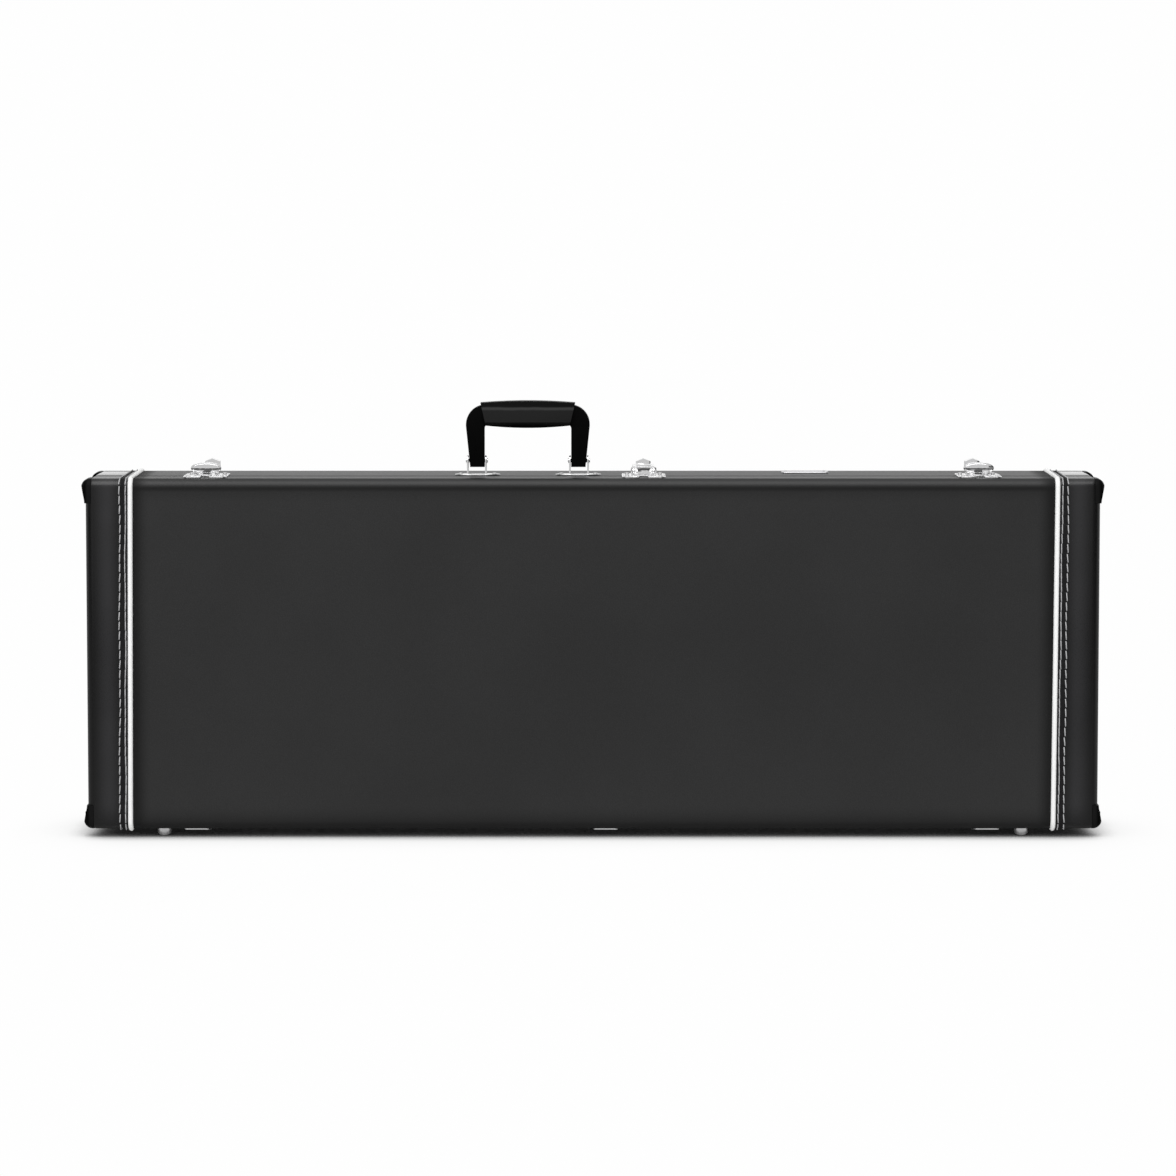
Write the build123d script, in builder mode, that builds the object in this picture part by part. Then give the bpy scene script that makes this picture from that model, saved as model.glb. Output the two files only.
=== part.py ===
"""Hardshell electric guitar case, standing on its hinge edge.

Millimetres. X runs along the case, -Y is the side of the lid, +Z is up.
The origin is on the floor under the middle of the case.
"""

from build123d import *
from math import asin, cos, sin
import os

os.makedirs("parts", exist_ok=True)

# Shell
case_length = 1034.0
case_height = 360.0
lid_depth = 37.0
body_depth = 78.0
edge_radius = 9.0
skin = 1.0
body_ply = 5.0
lid_ply = 4.5
parting_gap = 0.3
foot_height = 8.0

# Piping between the covering and the end caps
cap_length = 45.2
piping_diameter = 5.0

# Corner guards and their studs
guard_proud = 4.5
guard_wrap = 6.0
guard_reach = 25.0
guard_edge = 0.6
guard_shoulder = 5.5
guard_waist = 22.0
guard_waist_proud = 0.9
stud_from_edge = 15.0
stud_radius = 2.4
stud_height = 1.6
stud_shank_radius = 1.4
head_rim = 0.25

# Lip that guides the lid onto the body
lip_thickness = 2.4
lip_reach = 6.0
lip_depth = 14.0

# Padding and the guitar's cavity
pad_thickness = 8.0
padding_recess = 14.5
lower_bout_from_end = 187.0
lower_bout_radius = 165.0
bout_spacing = 165.0
upper_bout_radius = 148.0
neck_channel_width = 72.0
head_pocket_length = 198.0
head_pocket_from_end = 27.0
head_pocket_width = 112.0
head_pocket_radius = 12.0
cradle_to_head_pocket = 47.0
cradle_length = 150.0
cradle_drop = 22.0
cradle_groove_radius = 45.0
cradle_groove_depth = 10.0
lining_gap = 0.3

# Accessory compartment
accessory_length = 222.0
accessory_to_head_pocket = 30.0
accessory_bottom = 30.0
accessory_top = 146.0
accessory_wall = 3.0
accessory_lid_thickness = 4.0
tab_width = 22.0
tab_length = 26.0
tab_thickness = 1.5
tab_inset = 9.0

# Hinges along the bottom
left_hinge_from_end = 111.0
middle_hinge_x = 13.0
right_hinge_from_end = 113.0
hinge_width = 25.5
hinge_leaf_thickness = 1.2
hinge_leaf_corner = 3.0
hinge_knuckle_radius = 3.0
hinge_pin_radius = 1.4
hinge_pin_head_radius = 2.4
hinge_knuckles = 5
hinge_knuckle_gap = 0.3
lid_leaf_length = 29.5
body_leaf_length = 24.0
screw_radius = 1.5
screw_head_radius = 2.6
screw_head_height = 0.9
screw_spacing = 14.0
screw_length = 4.0
lid_screw_from_end = 12.0
body_screw_from_end = 8.0

# Feet
foot_from_end = 77.0
foot_from_face = 17.5
foot_radius = 7.5
foot_sole_radius = 3.2
foot_rim = 2.0
foot_bulge = 1.6

# Latches on the top edge
left_latch_from_end = 121.0
centre_latch_x = 52.0
right_latch_from_end = 122.0
latch_names = ("left", "centre", "right")
plate_thickness = 1.2
keeper_thickness = 1.5
latch_width = 44.6
latch_corner = 5.0
scallop_radius = 3.0
keeper_length = 27.0
keeper_slot_width = 9.0
keeper_slot_length = 17.0
hook_width = 12.0
hook_thickness = 1.5
hook_height = 6.5
base_length = 22.0
base_tongue_width = 18.0
base_tongue_length = 30.0
latch_rivet_spacing = 34.0
keeper_rivet_from_parting = 20.0
base_rivet_from_parting = 16.0
lever_pivot_back = 3.0
lever_pivot_height = 5.0
lever_pin_radius = 1.3
lever_half_width = 11.2
lever_cheek = 1.5
lever_front_radius = 3.5
lever_length = 31.0
lever_top_thickness = 1.5
ridge_half_width = 7.5
ridge_height = 1.6
tab_start = 21.0
tab_shoulder_height = 3.5
tab_peak_height = 6.5
side_tab_shift = 3.6
ear_thickness = 1.5
ear_radius = 3.0
ear_neck_width = 5.4
loop_pivot_back = 11.5
loop_pivot_height = 4.2
loop_pin_radius = 1.2
loop_reach = 10.5
loop_corner = 1.5
hook_gap = 0.3
loop_arm_thickness = 1.5
loop_arm_half_height = 2.3
loop_wall_thickness = 1.4
loop_wall_bottom = 2.2
loop_wall_top = 10.0
arch_width = 6.0
arch_inset = 4.0
arch_bottom = 3.2
arch_spring = 3.0
oval_half_width = 15.6
oval_half_height = 6.0
oval_height = 8.9
oval_tongue_width = 12.0
oval_rim_inset = 1.6
oval_rim_proud = 0.8

# Rivets
rivet_radius = 1.5
rivet_head_radius = 2.7
rivet_head_height = 1.4

# Handle
handle_x = -66.8
handle_y = -7.5
handle_pivot_height = 15.0
handle_leg_outer = 59.3
handle_leg_inner = 44.5
handle_shoulder_outer = 63.6
handle_shoulder_height = 36.0
handle_corner_radius = 20.0
handle_inner_radius = 5.0
handle_frame_top = 57.5
handle_bar_bottom = 38.0
handle_leg_drop = 6.3
handle_leg_thickness = 12.0
grip_top_half = 48.6
grip_bottom_half = 43.0
grip_bottom = 36.6
grip_top = 59.7
grip_crown = 2.0
grip_belly = 2.5
grip_half_thickness = 14.0
grip_crest_half = 8.5
grip_band = 6.5
grip_waist = 19.5
grip_foot_half = 8.0
bracket_offset = 51.8
bracket_length = 46.6
bracket_width = 17.0
bracket_ear_thickness = 1.6
bracket_ear_inner = 42.4
bracket_ear_outer = 62.6
bracket_ear_width = 11.0
bracket_window_width = 9.0
bracket_rivet_offset = 17.5
handle_pin_radius = 2.0
handle_pin_head_radius = 2.6
handle_pin_head = 1.2

# Nameplate
nameplate_x = 219.8
nameplate_y = 24.5
nameplate_length = 48.0
nameplate_width = 24.0
nameplate_thickness = 1.5
nameplate_corner = 3.0
nameplate_bevel = 0.5
nameplate_pin_offset = 20.1
nameplate_pin_radius = 1.0
nameplate_pin_head_radius = 1.7
nameplate_pin_head_height = 0.8
nameplate_pin_length = 4.0

# Fits
running_clearance = 0.06
side_clearance = 0.3

# Places that follow from the sizes above
case_depth = lid_depth + body_depth
front = -case_depth / 2
back = case_depth / 2
parting = front + lid_depth
body_edge = parting + parting_gap / 2
lid_edge = parting - parting_gap / 2
bottom = foot_height
top = foot_height + case_height
middle = foot_height + case_height / 2
end = case_length / 2
piping_x = end - cap_length
foot_x = end - foot_from_end
hinge_positions = (-end + left_hinge_from_end, middle_hinge_x, end - right_hinge_from_end)
latch_positions = (-end + left_latch_from_end, centre_latch_x, end - right_latch_from_end)
lower_bout_x = -end + lower_bout_from_end
upper_bout_x = lower_bout_x + bout_spacing
head_pocket_end = end - head_pocket_from_end
head_pocket_start = head_pocket_end - head_pocket_length
cradle_start = head_pocket_start - cradle_to_head_pocket - cradle_length
accessory_end = head_pocket_start - accessory_to_head_pocket
accessory_start = accessory_end - accessory_length
body_wall = skin + body_ply
lid_wall = skin + lid_ply
panel_front = back - body_wall
lid_panel_back = front + lid_wall
pad_face = panel_front - pad_thickness
padding_face = parting + padding_recess
seam_inner = piping_x - piping_diameter / 2
seam_outer = piping_x + piping_diameter / 2
hinge_axis = bottom - hinge_knuckle_radius - side_clearance
loop_inner = lever_half_width + side_clearance
loop_outer = loop_inner + loop_arm_thickness
foot_rows = {"front_feet": front + foot_from_face, "rear_feet": back - foot_from_face}


def save(part, name):
    """Label a finished piece and write it out."""
    part.label = name
    export_step(part, f"parts/{name}.step")


def slab(x_limits, y_limits, z_limits, mode=Mode.ADD):
    """Box between two limits along each axis."""
    centre = [(low + high) / 2 for low, high in (x_limits, y_limits, z_limits)]
    size = [high - low for low, high in (x_limits, y_limits, z_limits)]
    with Locations(tuple(centre)):
        Box(*size, mode=mode)


def block(inset, extra_length=0.0):
    """Rounded outline of the closed case, drawn in by inset on every face."""
    with BuildPart() as solid:
        with Locations((0, 0, middle)):
            Box(
                case_length - 2 * inset + 2 * extra_length,
                case_depth - 2 * inset,
                case_height - 2 * inset,
            )
        fillet(solid.edges(), edge_radius - inset)
    return solid.part


def facing(y):
    """Sketch plane that faces the lid side, at depth y."""
    return Plane.XZ.offset(-y)


def domed(place, out, head_radius, head_height, radius, length):
    """Domed head on a seat at place, facing out, with its shank behind it."""
    out = Vector(*out)
    radial = Vector(0, 1, 0)
    rim = head_height * head_rim
    sagitta = head_height - rim
    sphere = (sagitta**2 + head_radius**2) / (2 * sagitta)
    half_angle = asin(head_radius / sphere) / 2
    shoulder = (
        sphere * sin(half_angle),
        head_height - sphere + sphere * cos(half_angle),
    )
    with BuildSketch(Plane(place, x_dir=radial, z_dir=radial.cross(out))) as profile:
        with BuildLine():
            ThreePointArc((0, head_height), shoulder, (head_radius, rim))
            Polyline(
                (head_radius, rim),
                (head_radius, 0),
                (radius, 0),
                (radius, -length),
                (0, -length),
                (0, head_height),
            )
        make_face()
    revolve(profile.sketch, axis=Axis(place, out))


outline = block(0)
board = block(skin)
guard_outline = block(0, guard_proud)
whole_x = (-end - 1, end + 1)
body_half = (body_edge, back + 1)
lid_half = (front - 1, lid_edge)


# Fastener places on the top edge, as x, y
base_rivets = [
    (x + side * latch_rivet_spacing / 2, parting + base_rivet_from_parting)
    for x in latch_positions
    for side in (-1, 1)
]
keeper_rivets = [
    (x + side * latch_rivet_spacing / 2, parting - keeper_rivet_from_parting)
    for x in latch_positions
    for side in (-1, 1)
]
bracket_centres = [handle_x - bracket_offset, handle_x + bracket_offset]
bracket_rivets = [
    (x + side * bracket_rivet_offset, handle_y)
    for x in bracket_centres
    for side in (-1, 1)
]
nameplate_pins = [
    (nameplate_x + side * nameplate_pin_offset, nameplate_y) for side in (-1, 1)
]
lid_screws = [
    (x + side * screw_spacing / 2, parting - lid_leaf_length + lid_screw_from_end)
    for x in hinge_positions
    for side in (-1, 1)
]
body_screws = [
    (x + side * screw_spacing / 2, parting + body_leaf_length - body_screw_from_end)
    for x in hinge_positions
    for side in (-1, 1)
]


def drill(places, radius, low, high):
    """Cut upright round holes from low to high."""
    with Locations(*[(x, y, (low + high) / 2) for x, y in places]):
        Cylinder(radius + running_clearance, high - low, mode=Mode.SUBTRACT)


def drill_body_top(low, high):
    """Holes of everything riveted to the top of the body."""
    drill(base_rivets + bracket_rivets, rivet_radius, low, high)
    drill(nameplate_pins, nameplate_pin_radius, low, high)


# Plywood of the body
with BuildPart() as back_panel:
    add(board)
    slab(whole_x, (panel_front, back), (bottom, top), Mode.INTERSECT)
save(back_panel.part, "back_panel")

with BuildPart() as body_top_wall:
    add(board)
    slab(whole_x, (body_edge, panel_front), (top - body_wall, top), Mode.INTERSECT)
    drill_body_top(top - body_wall, top)
save(body_top_wall.part, "body_top_wall")

with BuildPart() as body_bottom_wall:
    add(board)
    slab(whole_x, (body_edge, panel_front), (bottom, bottom + body_wall), Mode.INTERSECT)
    drill(body_screws, screw_radius, bottom, bottom + screw_length)
save(body_bottom_wall.part, "body_bottom_wall")

with BuildPart() as body_end_walls:
    add(board)
    slab(whole_x, (body_edge, panel_front), (bottom + body_wall, top - body_wall), Mode.INTERSECT)
    slab(
        (-end + body_wall, end - body_wall),
        (body_edge, panel_front),
        (bottom, top),
        Mode.SUBTRACT,
    )
save(body_end_walls.part, "body_end_walls")

# Plywood of the lid
with BuildPart() as lid_panel:
    add(board)
    slab(whole_x, (front, lid_panel_back), (bottom, top), Mode.INTERSECT)
save(lid_panel.part, "lid_panel")

with BuildPart() as lid_top_wall:
    add(board)
    slab(whole_x, (lid_panel_back, lid_edge), (top - lid_wall, top), Mode.INTERSECT)
    drill(keeper_rivets, rivet_radius, top - lid_wall, top)
save(lid_top_wall.part, "lid_top_wall")

with BuildPart() as lid_bottom_wall:
    add(board)
    slab(whole_x, (lid_panel_back, lid_edge), (bottom, bottom + lid_wall), Mode.INTERSECT)
    drill(lid_screws, screw_radius, bottom, bottom + screw_length)
save(lid_bottom_wall.part, "lid_bottom_wall")

with BuildPart() as lid_end_walls:
    add(board)
    slab(whole_x, (lid_panel_back, lid_edge), (bottom + lid_wall, top - lid_wall), Mode.INTERSECT)
    slab(
        (-end + lid_wall, end - lid_wall),
        (lid_panel_back, lid_edge),
        (bottom, top),
        Mode.SUBTRACT,
    )
save(lid_end_walls.part, "lid_end_walls")

# Grained covering round the middle of both halves
with BuildPart() as body_covering:
    add(outline)
    add(board, mode=Mode.SUBTRACT)
    slab((-seam_inner, seam_inner), body_half, (bottom - 1, top + 1), Mode.INTERSECT)
    drill_body_top(top - skin, top)
    drill(body_screws, screw_radius, bottom, bottom + skin)
save(body_covering.part, "body_covering")

with BuildPart() as lid_covering:
    add(outline)
    add(board, mode=Mode.SUBTRACT)
    slab((-seam_inner, seam_inner), lid_half, (bottom - 1, top + 1), Mode.INTERSECT)
    drill(keeper_rivets, rivet_radius, top - skin, top)
    drill(lid_screws, screw_radius, bottom, bottom + skin)
save(lid_covering.part, "lid_covering")


# Smooth end caps, piping, corner guards and studs
def end_cap(side, half):
    """Smooth skin over one end of one half."""
    limits = sorted((side * seam_outer, side * (end + 1)))
    with BuildPart() as cap:
        add(outline)
        add(board, mode=Mode.SUBTRACT)
        slab(limits, half, (bottom - 1, top + 1), Mode.INTERSECT)
    return cap.part


def piping(side, edge, face):
    """Round bead over the seam of one half, from parting edge to parting edge."""
    plane = Plane.YZ.offset(side * piping_x)
    with BuildPart() as bead:
        with BuildLine(plane) as route:
            FilletPolyline(
                (edge, top), (face, top), (face, bottom), (edge, bottom), radius=edge_radius
            )
        with BuildSketch(Plane(route.line @ 0, z_dir=route.line % 0)):
            Circle(piping_diameter / 2)
        sweep()
        add(board, mode=Mode.SUBTRACT)
    return bead.part


def guards(face):
    """Four moulded corner guards on the outer corners of one half."""
    inward = 1 if face < 0 else -1
    depth = sorted((face, face + inward * guard_reach))
    with BuildPart() as group:
        for side in (-1, 1):
            for up in (-1, 1):
                edge = middle + up * case_height / 2
                with BuildSketch(facing(depth[0])):
                    with BuildLine():
                        Polyline(
                            (side * (end - guard_wrap), edge),
                            (side * (end + guard_proud), edge),
                            (side * (end + guard_proud), edge - up * guard_shoulder),
                            (side * (end + guard_waist_proud), edge - up * guard_waist),
                            (side * (end + guard_edge), edge - up * guard_reach),
                            (side * (end - guard_wrap), edge - up * guard_reach),
                            close=True,
                        )
                    make_face()
                extrude(amount=-guard_reach)
        add(guard_outline, mode=Mode.INTERSECT)
        add(outline, mode=Mode.SUBTRACT)
    return group.part


def studs(face):
    """Domed studs that hold the corner guards to the end faces."""
    inward = 1 if face < 0 else -1
    seat = guard_waist_proud + (guard_proud - guard_waist_proud) * (
        guard_waist - stud_from_edge
    ) / (guard_waist - guard_shoulder)
    with BuildPart() as group:
        for side in (-1, 1):
            for up in (-1, 1):
                height = middle + up * (case_height / 2 - stud_from_edge)
                place = (side * (end + seat), face + inward * stud_from_edge, height)
                domed(place, (side, 0, 0), stud_radius, stud_height, stud_shank_radius, seat)
    return group.part


for half_name, half, edge, face in (
    ("body", body_half, body_edge, back),
    ("lid", lid_half, lid_edge, front),
):
    for side_name, side in (("left", -1), ("right", 1)):
        save(end_cap(side, half), f"{half_name}_end_cap_{side_name}")
        save(piping(side, edge, face), f"{half_name}_piping_{side_name}")
    stud_group = studs(face)
    guard_group = guards(face)
    with BuildPart() as drilled_guards:
        add(guard_group)
        add(stud_group, mode=Mode.SUBTRACT)
    save(drilled_guards.part, f"{half_name}_corners")
    save(stud_group, f"{half_name}_corner_studs")

# Lip round the mouth of the body, in four strips
with BuildPart() as body_lip:
    lip_limits = (parting - lip_reach, body_edge + lip_depth)
    inner_x = end - body_wall
    for low in (bottom + body_wall, top - body_wall - lip_thickness):
        slab((-inner_x, inner_x), lip_limits, (low, low + lip_thickness))
    for low in (-inner_x, inner_x - lip_thickness):
        slab(
            (low, low + lip_thickness),
            lip_limits,
            (
                bottom + body_wall + lip_thickness + lining_gap,
                top - body_wall - lip_thickness - lining_gap,
            ),
        )
save(body_lip.part, "body_lip")

# Padding
with BuildPart() as back_pad:
    slab(
        (-end + body_wall, end - body_wall),
        (pad_face, panel_front),
        (bottom + body_wall, top - body_wall),
    )
save(back_pad.part, "back_pad")

with BuildPart() as lid_pad:
    slab(
        (-end + lid_wall, end - lid_wall),
        (lid_panel_back, lid_panel_back + pad_thickness),
        (bottom + lid_wall, top - lid_wall),
    )
save(lid_pad.part, "lid_pad")


def guitar_cavity():
    """Cut the guitar's outline out of the current sketch."""
    with Locations((lower_bout_x, middle)):
        Circle(lower_bout_radius, mode=Mode.SUBTRACT)
    with Locations((upper_bout_x, middle)):
        Circle(upper_bout_radius, mode=Mode.SUBTRACT)
    with Locations(((upper_bout_x + head_pocket_start) / 2, middle)):
        Rectangle(head_pocket_start - upper_bout_x + 1, neck_channel_width, mode=Mode.SUBTRACT)
    with Locations(((head_pocket_start + head_pocket_end) / 2, middle)):
        RectangleRounded(
            head_pocket_end - head_pocket_start,
            head_pocket_width,
            head_pocket_radius,
            mode=Mode.SUBTRACT,
        )


def padding(low, high, with_pocket):
    """Foam block between two heights, shaped round the guitar."""
    with BuildPart() as foam:
        with BuildSketch(facing(padding_face)):
            with Locations((0, (low + high) / 2)):
                Rectangle(2 * (end - body_wall), high - low)
            guitar_cavity()
            if with_pocket:
                with Locations(
                    (
                        (accessory_start + accessory_end) / 2,
                        (accessory_bottom + accessory_top) / 2,
                    )
                ):
                    Rectangle(
                        accessory_end - accessory_start,
                        accessory_top - accessory_bottom,
                        mode=Mode.SUBTRACT,
                    )
        extrude(amount=padding_face - pad_face)
    return foam.part


save(padding(middle, top - body_wall, False), "upper_padding")
save(padding(bottom + body_wall, middle, True), "lower_padding")

# Cradle under the neck
with BuildPart() as neck_cradle:
    cradle_face = padding_face + cradle_drop
    with BuildSketch(Plane.YZ.offset(cradle_start)):
        with Locations(((cradle_face + pad_face) / 2, middle)):
            Rectangle(pad_face - cradle_face, neck_channel_width - 2 * lining_gap)
        with Locations((cradle_face - cradle_groove_radius + cradle_groove_depth, middle)):
            Circle(cradle_groove_radius, mode=Mode.SUBTRACT)
    extrude(amount=cradle_length)
save(neck_cradle.part, "neck_cradle")

# Accessory compartment, its lid and its pull tab
box_x = (accessory_start + lining_gap, accessory_end - lining_gap)
box_z = (accessory_bottom + lining_gap, accessory_top - lining_gap)
box_rim = padding_face + accessory_lid_thickness + lining_gap
with BuildPart() as accessory_box:
    slab(box_x, (box_rim, pad_face), box_z)
    slab(
        (box_x[0] + accessory_wall, box_x[1] - accessory_wall),
        (box_rim, pad_face - accessory_wall),
        (box_z[0] + accessory_wall, box_z[1] - accessory_wall),
        Mode.SUBTRACT,
    )
save(accessory_box.part, "accessory_box")

with BuildPart() as accessory_lid:
    slab(box_x, (padding_face, padding_face + accessory_lid_thickness), box_z)
save(accessory_lid.part, "accessory_lid")

with BuildPart() as accessory_tab:
    tab_z = box_z[1] - tab_inset
    tab_x = (box_x[0] + box_x[1]) / 2
    slab(
        (tab_x - tab_width / 2, tab_x + tab_width / 2),
        (padding_face - tab_thickness, padding_face),
        (tab_z - tab_length, tab_z),
    )
    fillet(accessory_tab.edges().filter_by(Axis.Y), tab_width / 4)
save(accessory_tab.part, "accessory_tab")


# Hinges
def hinge_leaf(x, direction, length, owned, screw_y):
    """Leaf under one half, with its share of the knuckles."""
    pitch = (hinge_width + hinge_knuckle_gap) / hinge_knuckles
    clear = hinge_knuckle_radius + side_clearance
    leaf_z = (bottom - hinge_leaf_thickness, bottom)
    start = x - hinge_width / 2
    far = parting + direction * length
    with BuildPart() as leaf:
        slab((start, start + hinge_width), sorted((parting + direction * clear, far)), leaf_z)
        rim = leaf.edges().filter_by(Axis.Z).sort_by(Axis.Y)
        fillet(rim[-2:] if direction > 0 else rim[:2], hinge_leaf_corner)
        for index in range(hinge_knuckles):
            if index % 2 != owned:
                continue
            low = start + index * pitch
            high = low + pitch - hinge_knuckle_gap
            arm = sorted((parting + direction * parting_gap / 2, parting + direction * (clear + 1)))
            slab((low, high), arm, leaf_z)
            with BuildSketch(Plane.YZ.offset(low)):
                with Locations((parting, hinge_axis)):
                    Circle(hinge_knuckle_radius)
            extrude(amount=high - low)
        with Locations((x, parting, hinge_axis)):
            Cylinder(
                hinge_pin_radius + running_clearance,
                hinge_width + 2,
                rotation=(0, 90, 0),
                mode=Mode.SUBTRACT,
            )
        holes = [(x - screw_spacing / 2, screw_y), (x + screw_spacing / 2, screw_y)]
        drill(holes, screw_radius, bottom - hinge_leaf_thickness, bottom)
    return leaf.part


with BuildPart() as hinge_body_leaves:
    for x in hinge_positions:
        add(hinge_leaf(x, 1, body_leaf_length, 0, body_screws[0][1]))
save(hinge_body_leaves.part, "hinge_body_leaves")

with BuildPart() as hinge_lid_leaves:
    for x in hinge_positions:
        add(hinge_leaf(x, -1, lid_leaf_length, 1, lid_screws[0][1]))
save(hinge_lid_leaves.part, "hinge_lid_leaves")

with BuildPart() as hinge_pins:
    with Locations(*[(x, parting, hinge_axis) for x in hinge_positions]):
        Cylinder(hinge_pin_radius, hinge_width, rotation=(0, 90, 0))
    head = hinge_knuckle_gap
    for x in hinge_positions:
        for side in (-1, 1):
            with Locations((x + side * (hinge_width / 2 + head / 2), parting, hinge_axis)):
                Cylinder(hinge_pin_head_radius, head, rotation=(0, 90, 0))
save(hinge_pins.part, "hinge_pins")


def fasteners(places, radius, head_radius, head_height, seat, length, up):
    """Round-headed fasteners whose heads sit on the plane z = seat."""
    with BuildPart() as group:
        for x, y in places:
            domed((x, y, seat), (0, 0, up), head_radius, head_height, radius, length)
    return group.part


save(
    fasteners(
        body_screws, screw_radius, screw_head_radius, screw_head_height,
        bottom - hinge_leaf_thickness, hinge_leaf_thickness + screw_length, -1,
    ),
    "body_hinge_screws",
)
save(
    fasteners(
        lid_screws, screw_radius, screw_head_radius, screw_head_height,
        bottom - hinge_leaf_thickness, hinge_leaf_thickness + screw_length, -1,
    ),
    "lid_hinge_screws",
)
save(
    fasteners(
        base_rivets + bracket_rivets, rivet_radius, rivet_head_radius, rivet_head_height,
        top + plate_thickness, plate_thickness + body_wall, 1,
    ),
    "body_rivets",
)
save(
    fasteners(
        keeper_rivets, rivet_radius, rivet_head_radius, rivet_head_height,
        top + keeper_thickness, keeper_thickness + lid_wall, 1,
    ),
    "lid_rivets",
)
save(
    fasteners(
        nameplate_pins, nameplate_pin_radius, nameplate_pin_head_radius,
        nameplate_pin_head_height, top + nameplate_thickness,
        nameplate_thickness + nameplate_pin_length, 1,
    ),
    "nameplate_pins",
)

# Feet
for name, foot_y in foot_rows.items():
    with BuildPart() as feet:
        for x in (-foot_x, foot_x):
            with BuildSketch(Plane((x, foot_y, 0), x_dir=(1, 0, 0), z_dir=(0, -1, 0))):
                with BuildLine():
                    Line((0, foot_height), (foot_radius, foot_height))
                    Line((foot_radius, foot_height), (foot_radius, foot_height - foot_rim))
                    SagittaArc(
                        (foot_radius, foot_height - foot_rim), (foot_sole_radius, 0), foot_bulge
                    )
                    Line((foot_sole_radius, 0), (0, 0))
                    Line((0, 0), (0, foot_height))
                make_face()
            revolve(axis=Axis((x, foot_y, 0), (0, 0, 1)))
    save(feet.part, name)


# Latches
def latch_plate(x, direction, length, thickness, slot):
    """Scalloped plate on one side of the parting line."""
    near = parting + direction * parting_gap
    far = parting + direction * length
    with BuildSketch(Plane.XY.offset(top)) as shape:
        with Locations((x, (near + far) / 2)):
            Rectangle(latch_width, abs(far - near))
        outer = shape.vertices().sort_by(Axis.Y)
        fillet(outer[-2:] if direction > 0 else outer[:2], latch_corner)
        with Locations(
            (x - latch_width / 2, (near + far) / 2), (x + latch_width / 2, (near + far) / 2)
        ):
            Circle(scallop_radius, mode=Mode.SUBTRACT)
        if slot:
            with Locations((x, far - direction * keeper_slot_length / 2)):
                Rectangle(keeper_slot_width, keeper_slot_length, mode=Mode.SUBTRACT)
    return shape.sketch


def latch_base(x):
    """Body plate of a latch, with the two ears that carry the lever."""
    pivot = (parting + lever_pivot_back, top + lever_pivot_height)
    with BuildPart() as base:
        add(latch_plate(x, 1, base_length, plate_thickness, False))
        extrude(amount=plate_thickness)
        slab(
            (x - base_tongue_width / 2, x + base_tongue_width / 2),
            (parting + base_length - latch_corner, parting + base_tongue_length),
            (top, top + plate_thickness),
        )
        inner = lever_half_width - lever_cheek - side_clearance
        for low in (x - inner, x + inner - ear_thickness):
            with BuildSketch(Plane.YZ.offset(low)):
                with Locations(pivot):
                    Circle(ear_radius)
                with Locations((pivot[0], (top + pivot[1]) / 2)):
                    Rectangle(ear_neck_width, pivot[1] - top)
            extrude(amount=ear_thickness)
        with Locations((x, *pivot)):
            Cylinder(
                lever_pin_radius + running_clearance,
                latch_width,
                rotation=(0, 90, 0),
                mode=Mode.SUBTRACT,
            )
        places = [p for p in base_rivets if abs(p[0] - x) < latch_width]
        drill(places, rivet_radius, top, top + plate_thickness)
    return base.part


def latch_keeper(x):
    """Lid plate of a latch, with the hook that the loop draws on."""
    hook_back = parting + lever_pivot_back - loop_reach + hook_gap + hook_thickness
    with BuildPart() as keeper:
        add(latch_plate(x, -1, keeper_length, keeper_thickness, True))
        extrude(amount=keeper_thickness)
        slab(
            (x - hook_width / 2, x + hook_width / 2),
            (hook_back - hook_thickness, hook_back),
            (top, top + hook_height),
        )
        places = [p for p in keeper_rivets if abs(p[0] - x) < latch_width]
        drill(places, rivet_radius, top, top + keeper_thickness)
    return keeper.part


def latch_lever(x, tab_x):
    """Lever with two cheeks, a raised ridge and a peaked finger tab at tab_x."""
    pivot = (parting + lever_pivot_back, top + lever_pivot_height)
    loop_pivot = (parting + loop_pivot_back, top + loop_pivot_height)
    low = pivot[1] - lever_front_radius
    high = pivot[1] + lever_front_radius
    tip = parting + lever_length
    with BuildPart() as lever:
        for start in (x - lever_half_width, x + lever_half_width - lever_cheek):
            with BuildSketch(Plane.YZ.offset(start)):
                with Locations(pivot):
                    Circle(lever_front_radius)
                with BuildLine():
                    Polyline(
                        (pivot[0], low),
                        ((pivot[0] + tip) / 2, low),
                        (tip, high - lever_cheek),
                        (tip, high),
                        (pivot[0], high),
                        close=True,
                    )
                make_face()
            extrude(amount=lever_cheek)
        slab(
            (x - lever_half_width, x + lever_half_width),
            (pivot[0] - 1, tip),
            (high, high + lever_top_thickness),
        )
        crest = high + lever_top_thickness
        slab(
            (x - ridge_half_width, x + ridge_half_width),
            (pivot[0], parting + tab_start),
            (crest, crest + ridge_height),
        )
        with BuildSketch(facing(parting + tab_start)):
            with BuildLine():
                Polyline(
                    (tab_x - ridge_half_width, crest),
                    (tab_x - ridge_half_width, crest + tab_shoulder_height),
                    (tab_x, crest + tab_peak_height),
                    (tab_x + ridge_half_width, crest + tab_shoulder_height),
                    (tab_x + ridge_half_width, crest),
                    close=True,
                )
            make_face()
        extrude(amount=-(lever_length - tab_start))
        for centre, radius in (
            (pivot, lever_pin_radius),
            (loop_pivot, loop_pin_radius),
        ):
            with Locations((x, *centre)):
                Cylinder(
                    radius + running_clearance,
                    2 * lever_half_width + 1,
                    rotation=(0, 90, 0),
                    mode=Mode.SUBTRACT,
                )
    return lever.part


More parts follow.
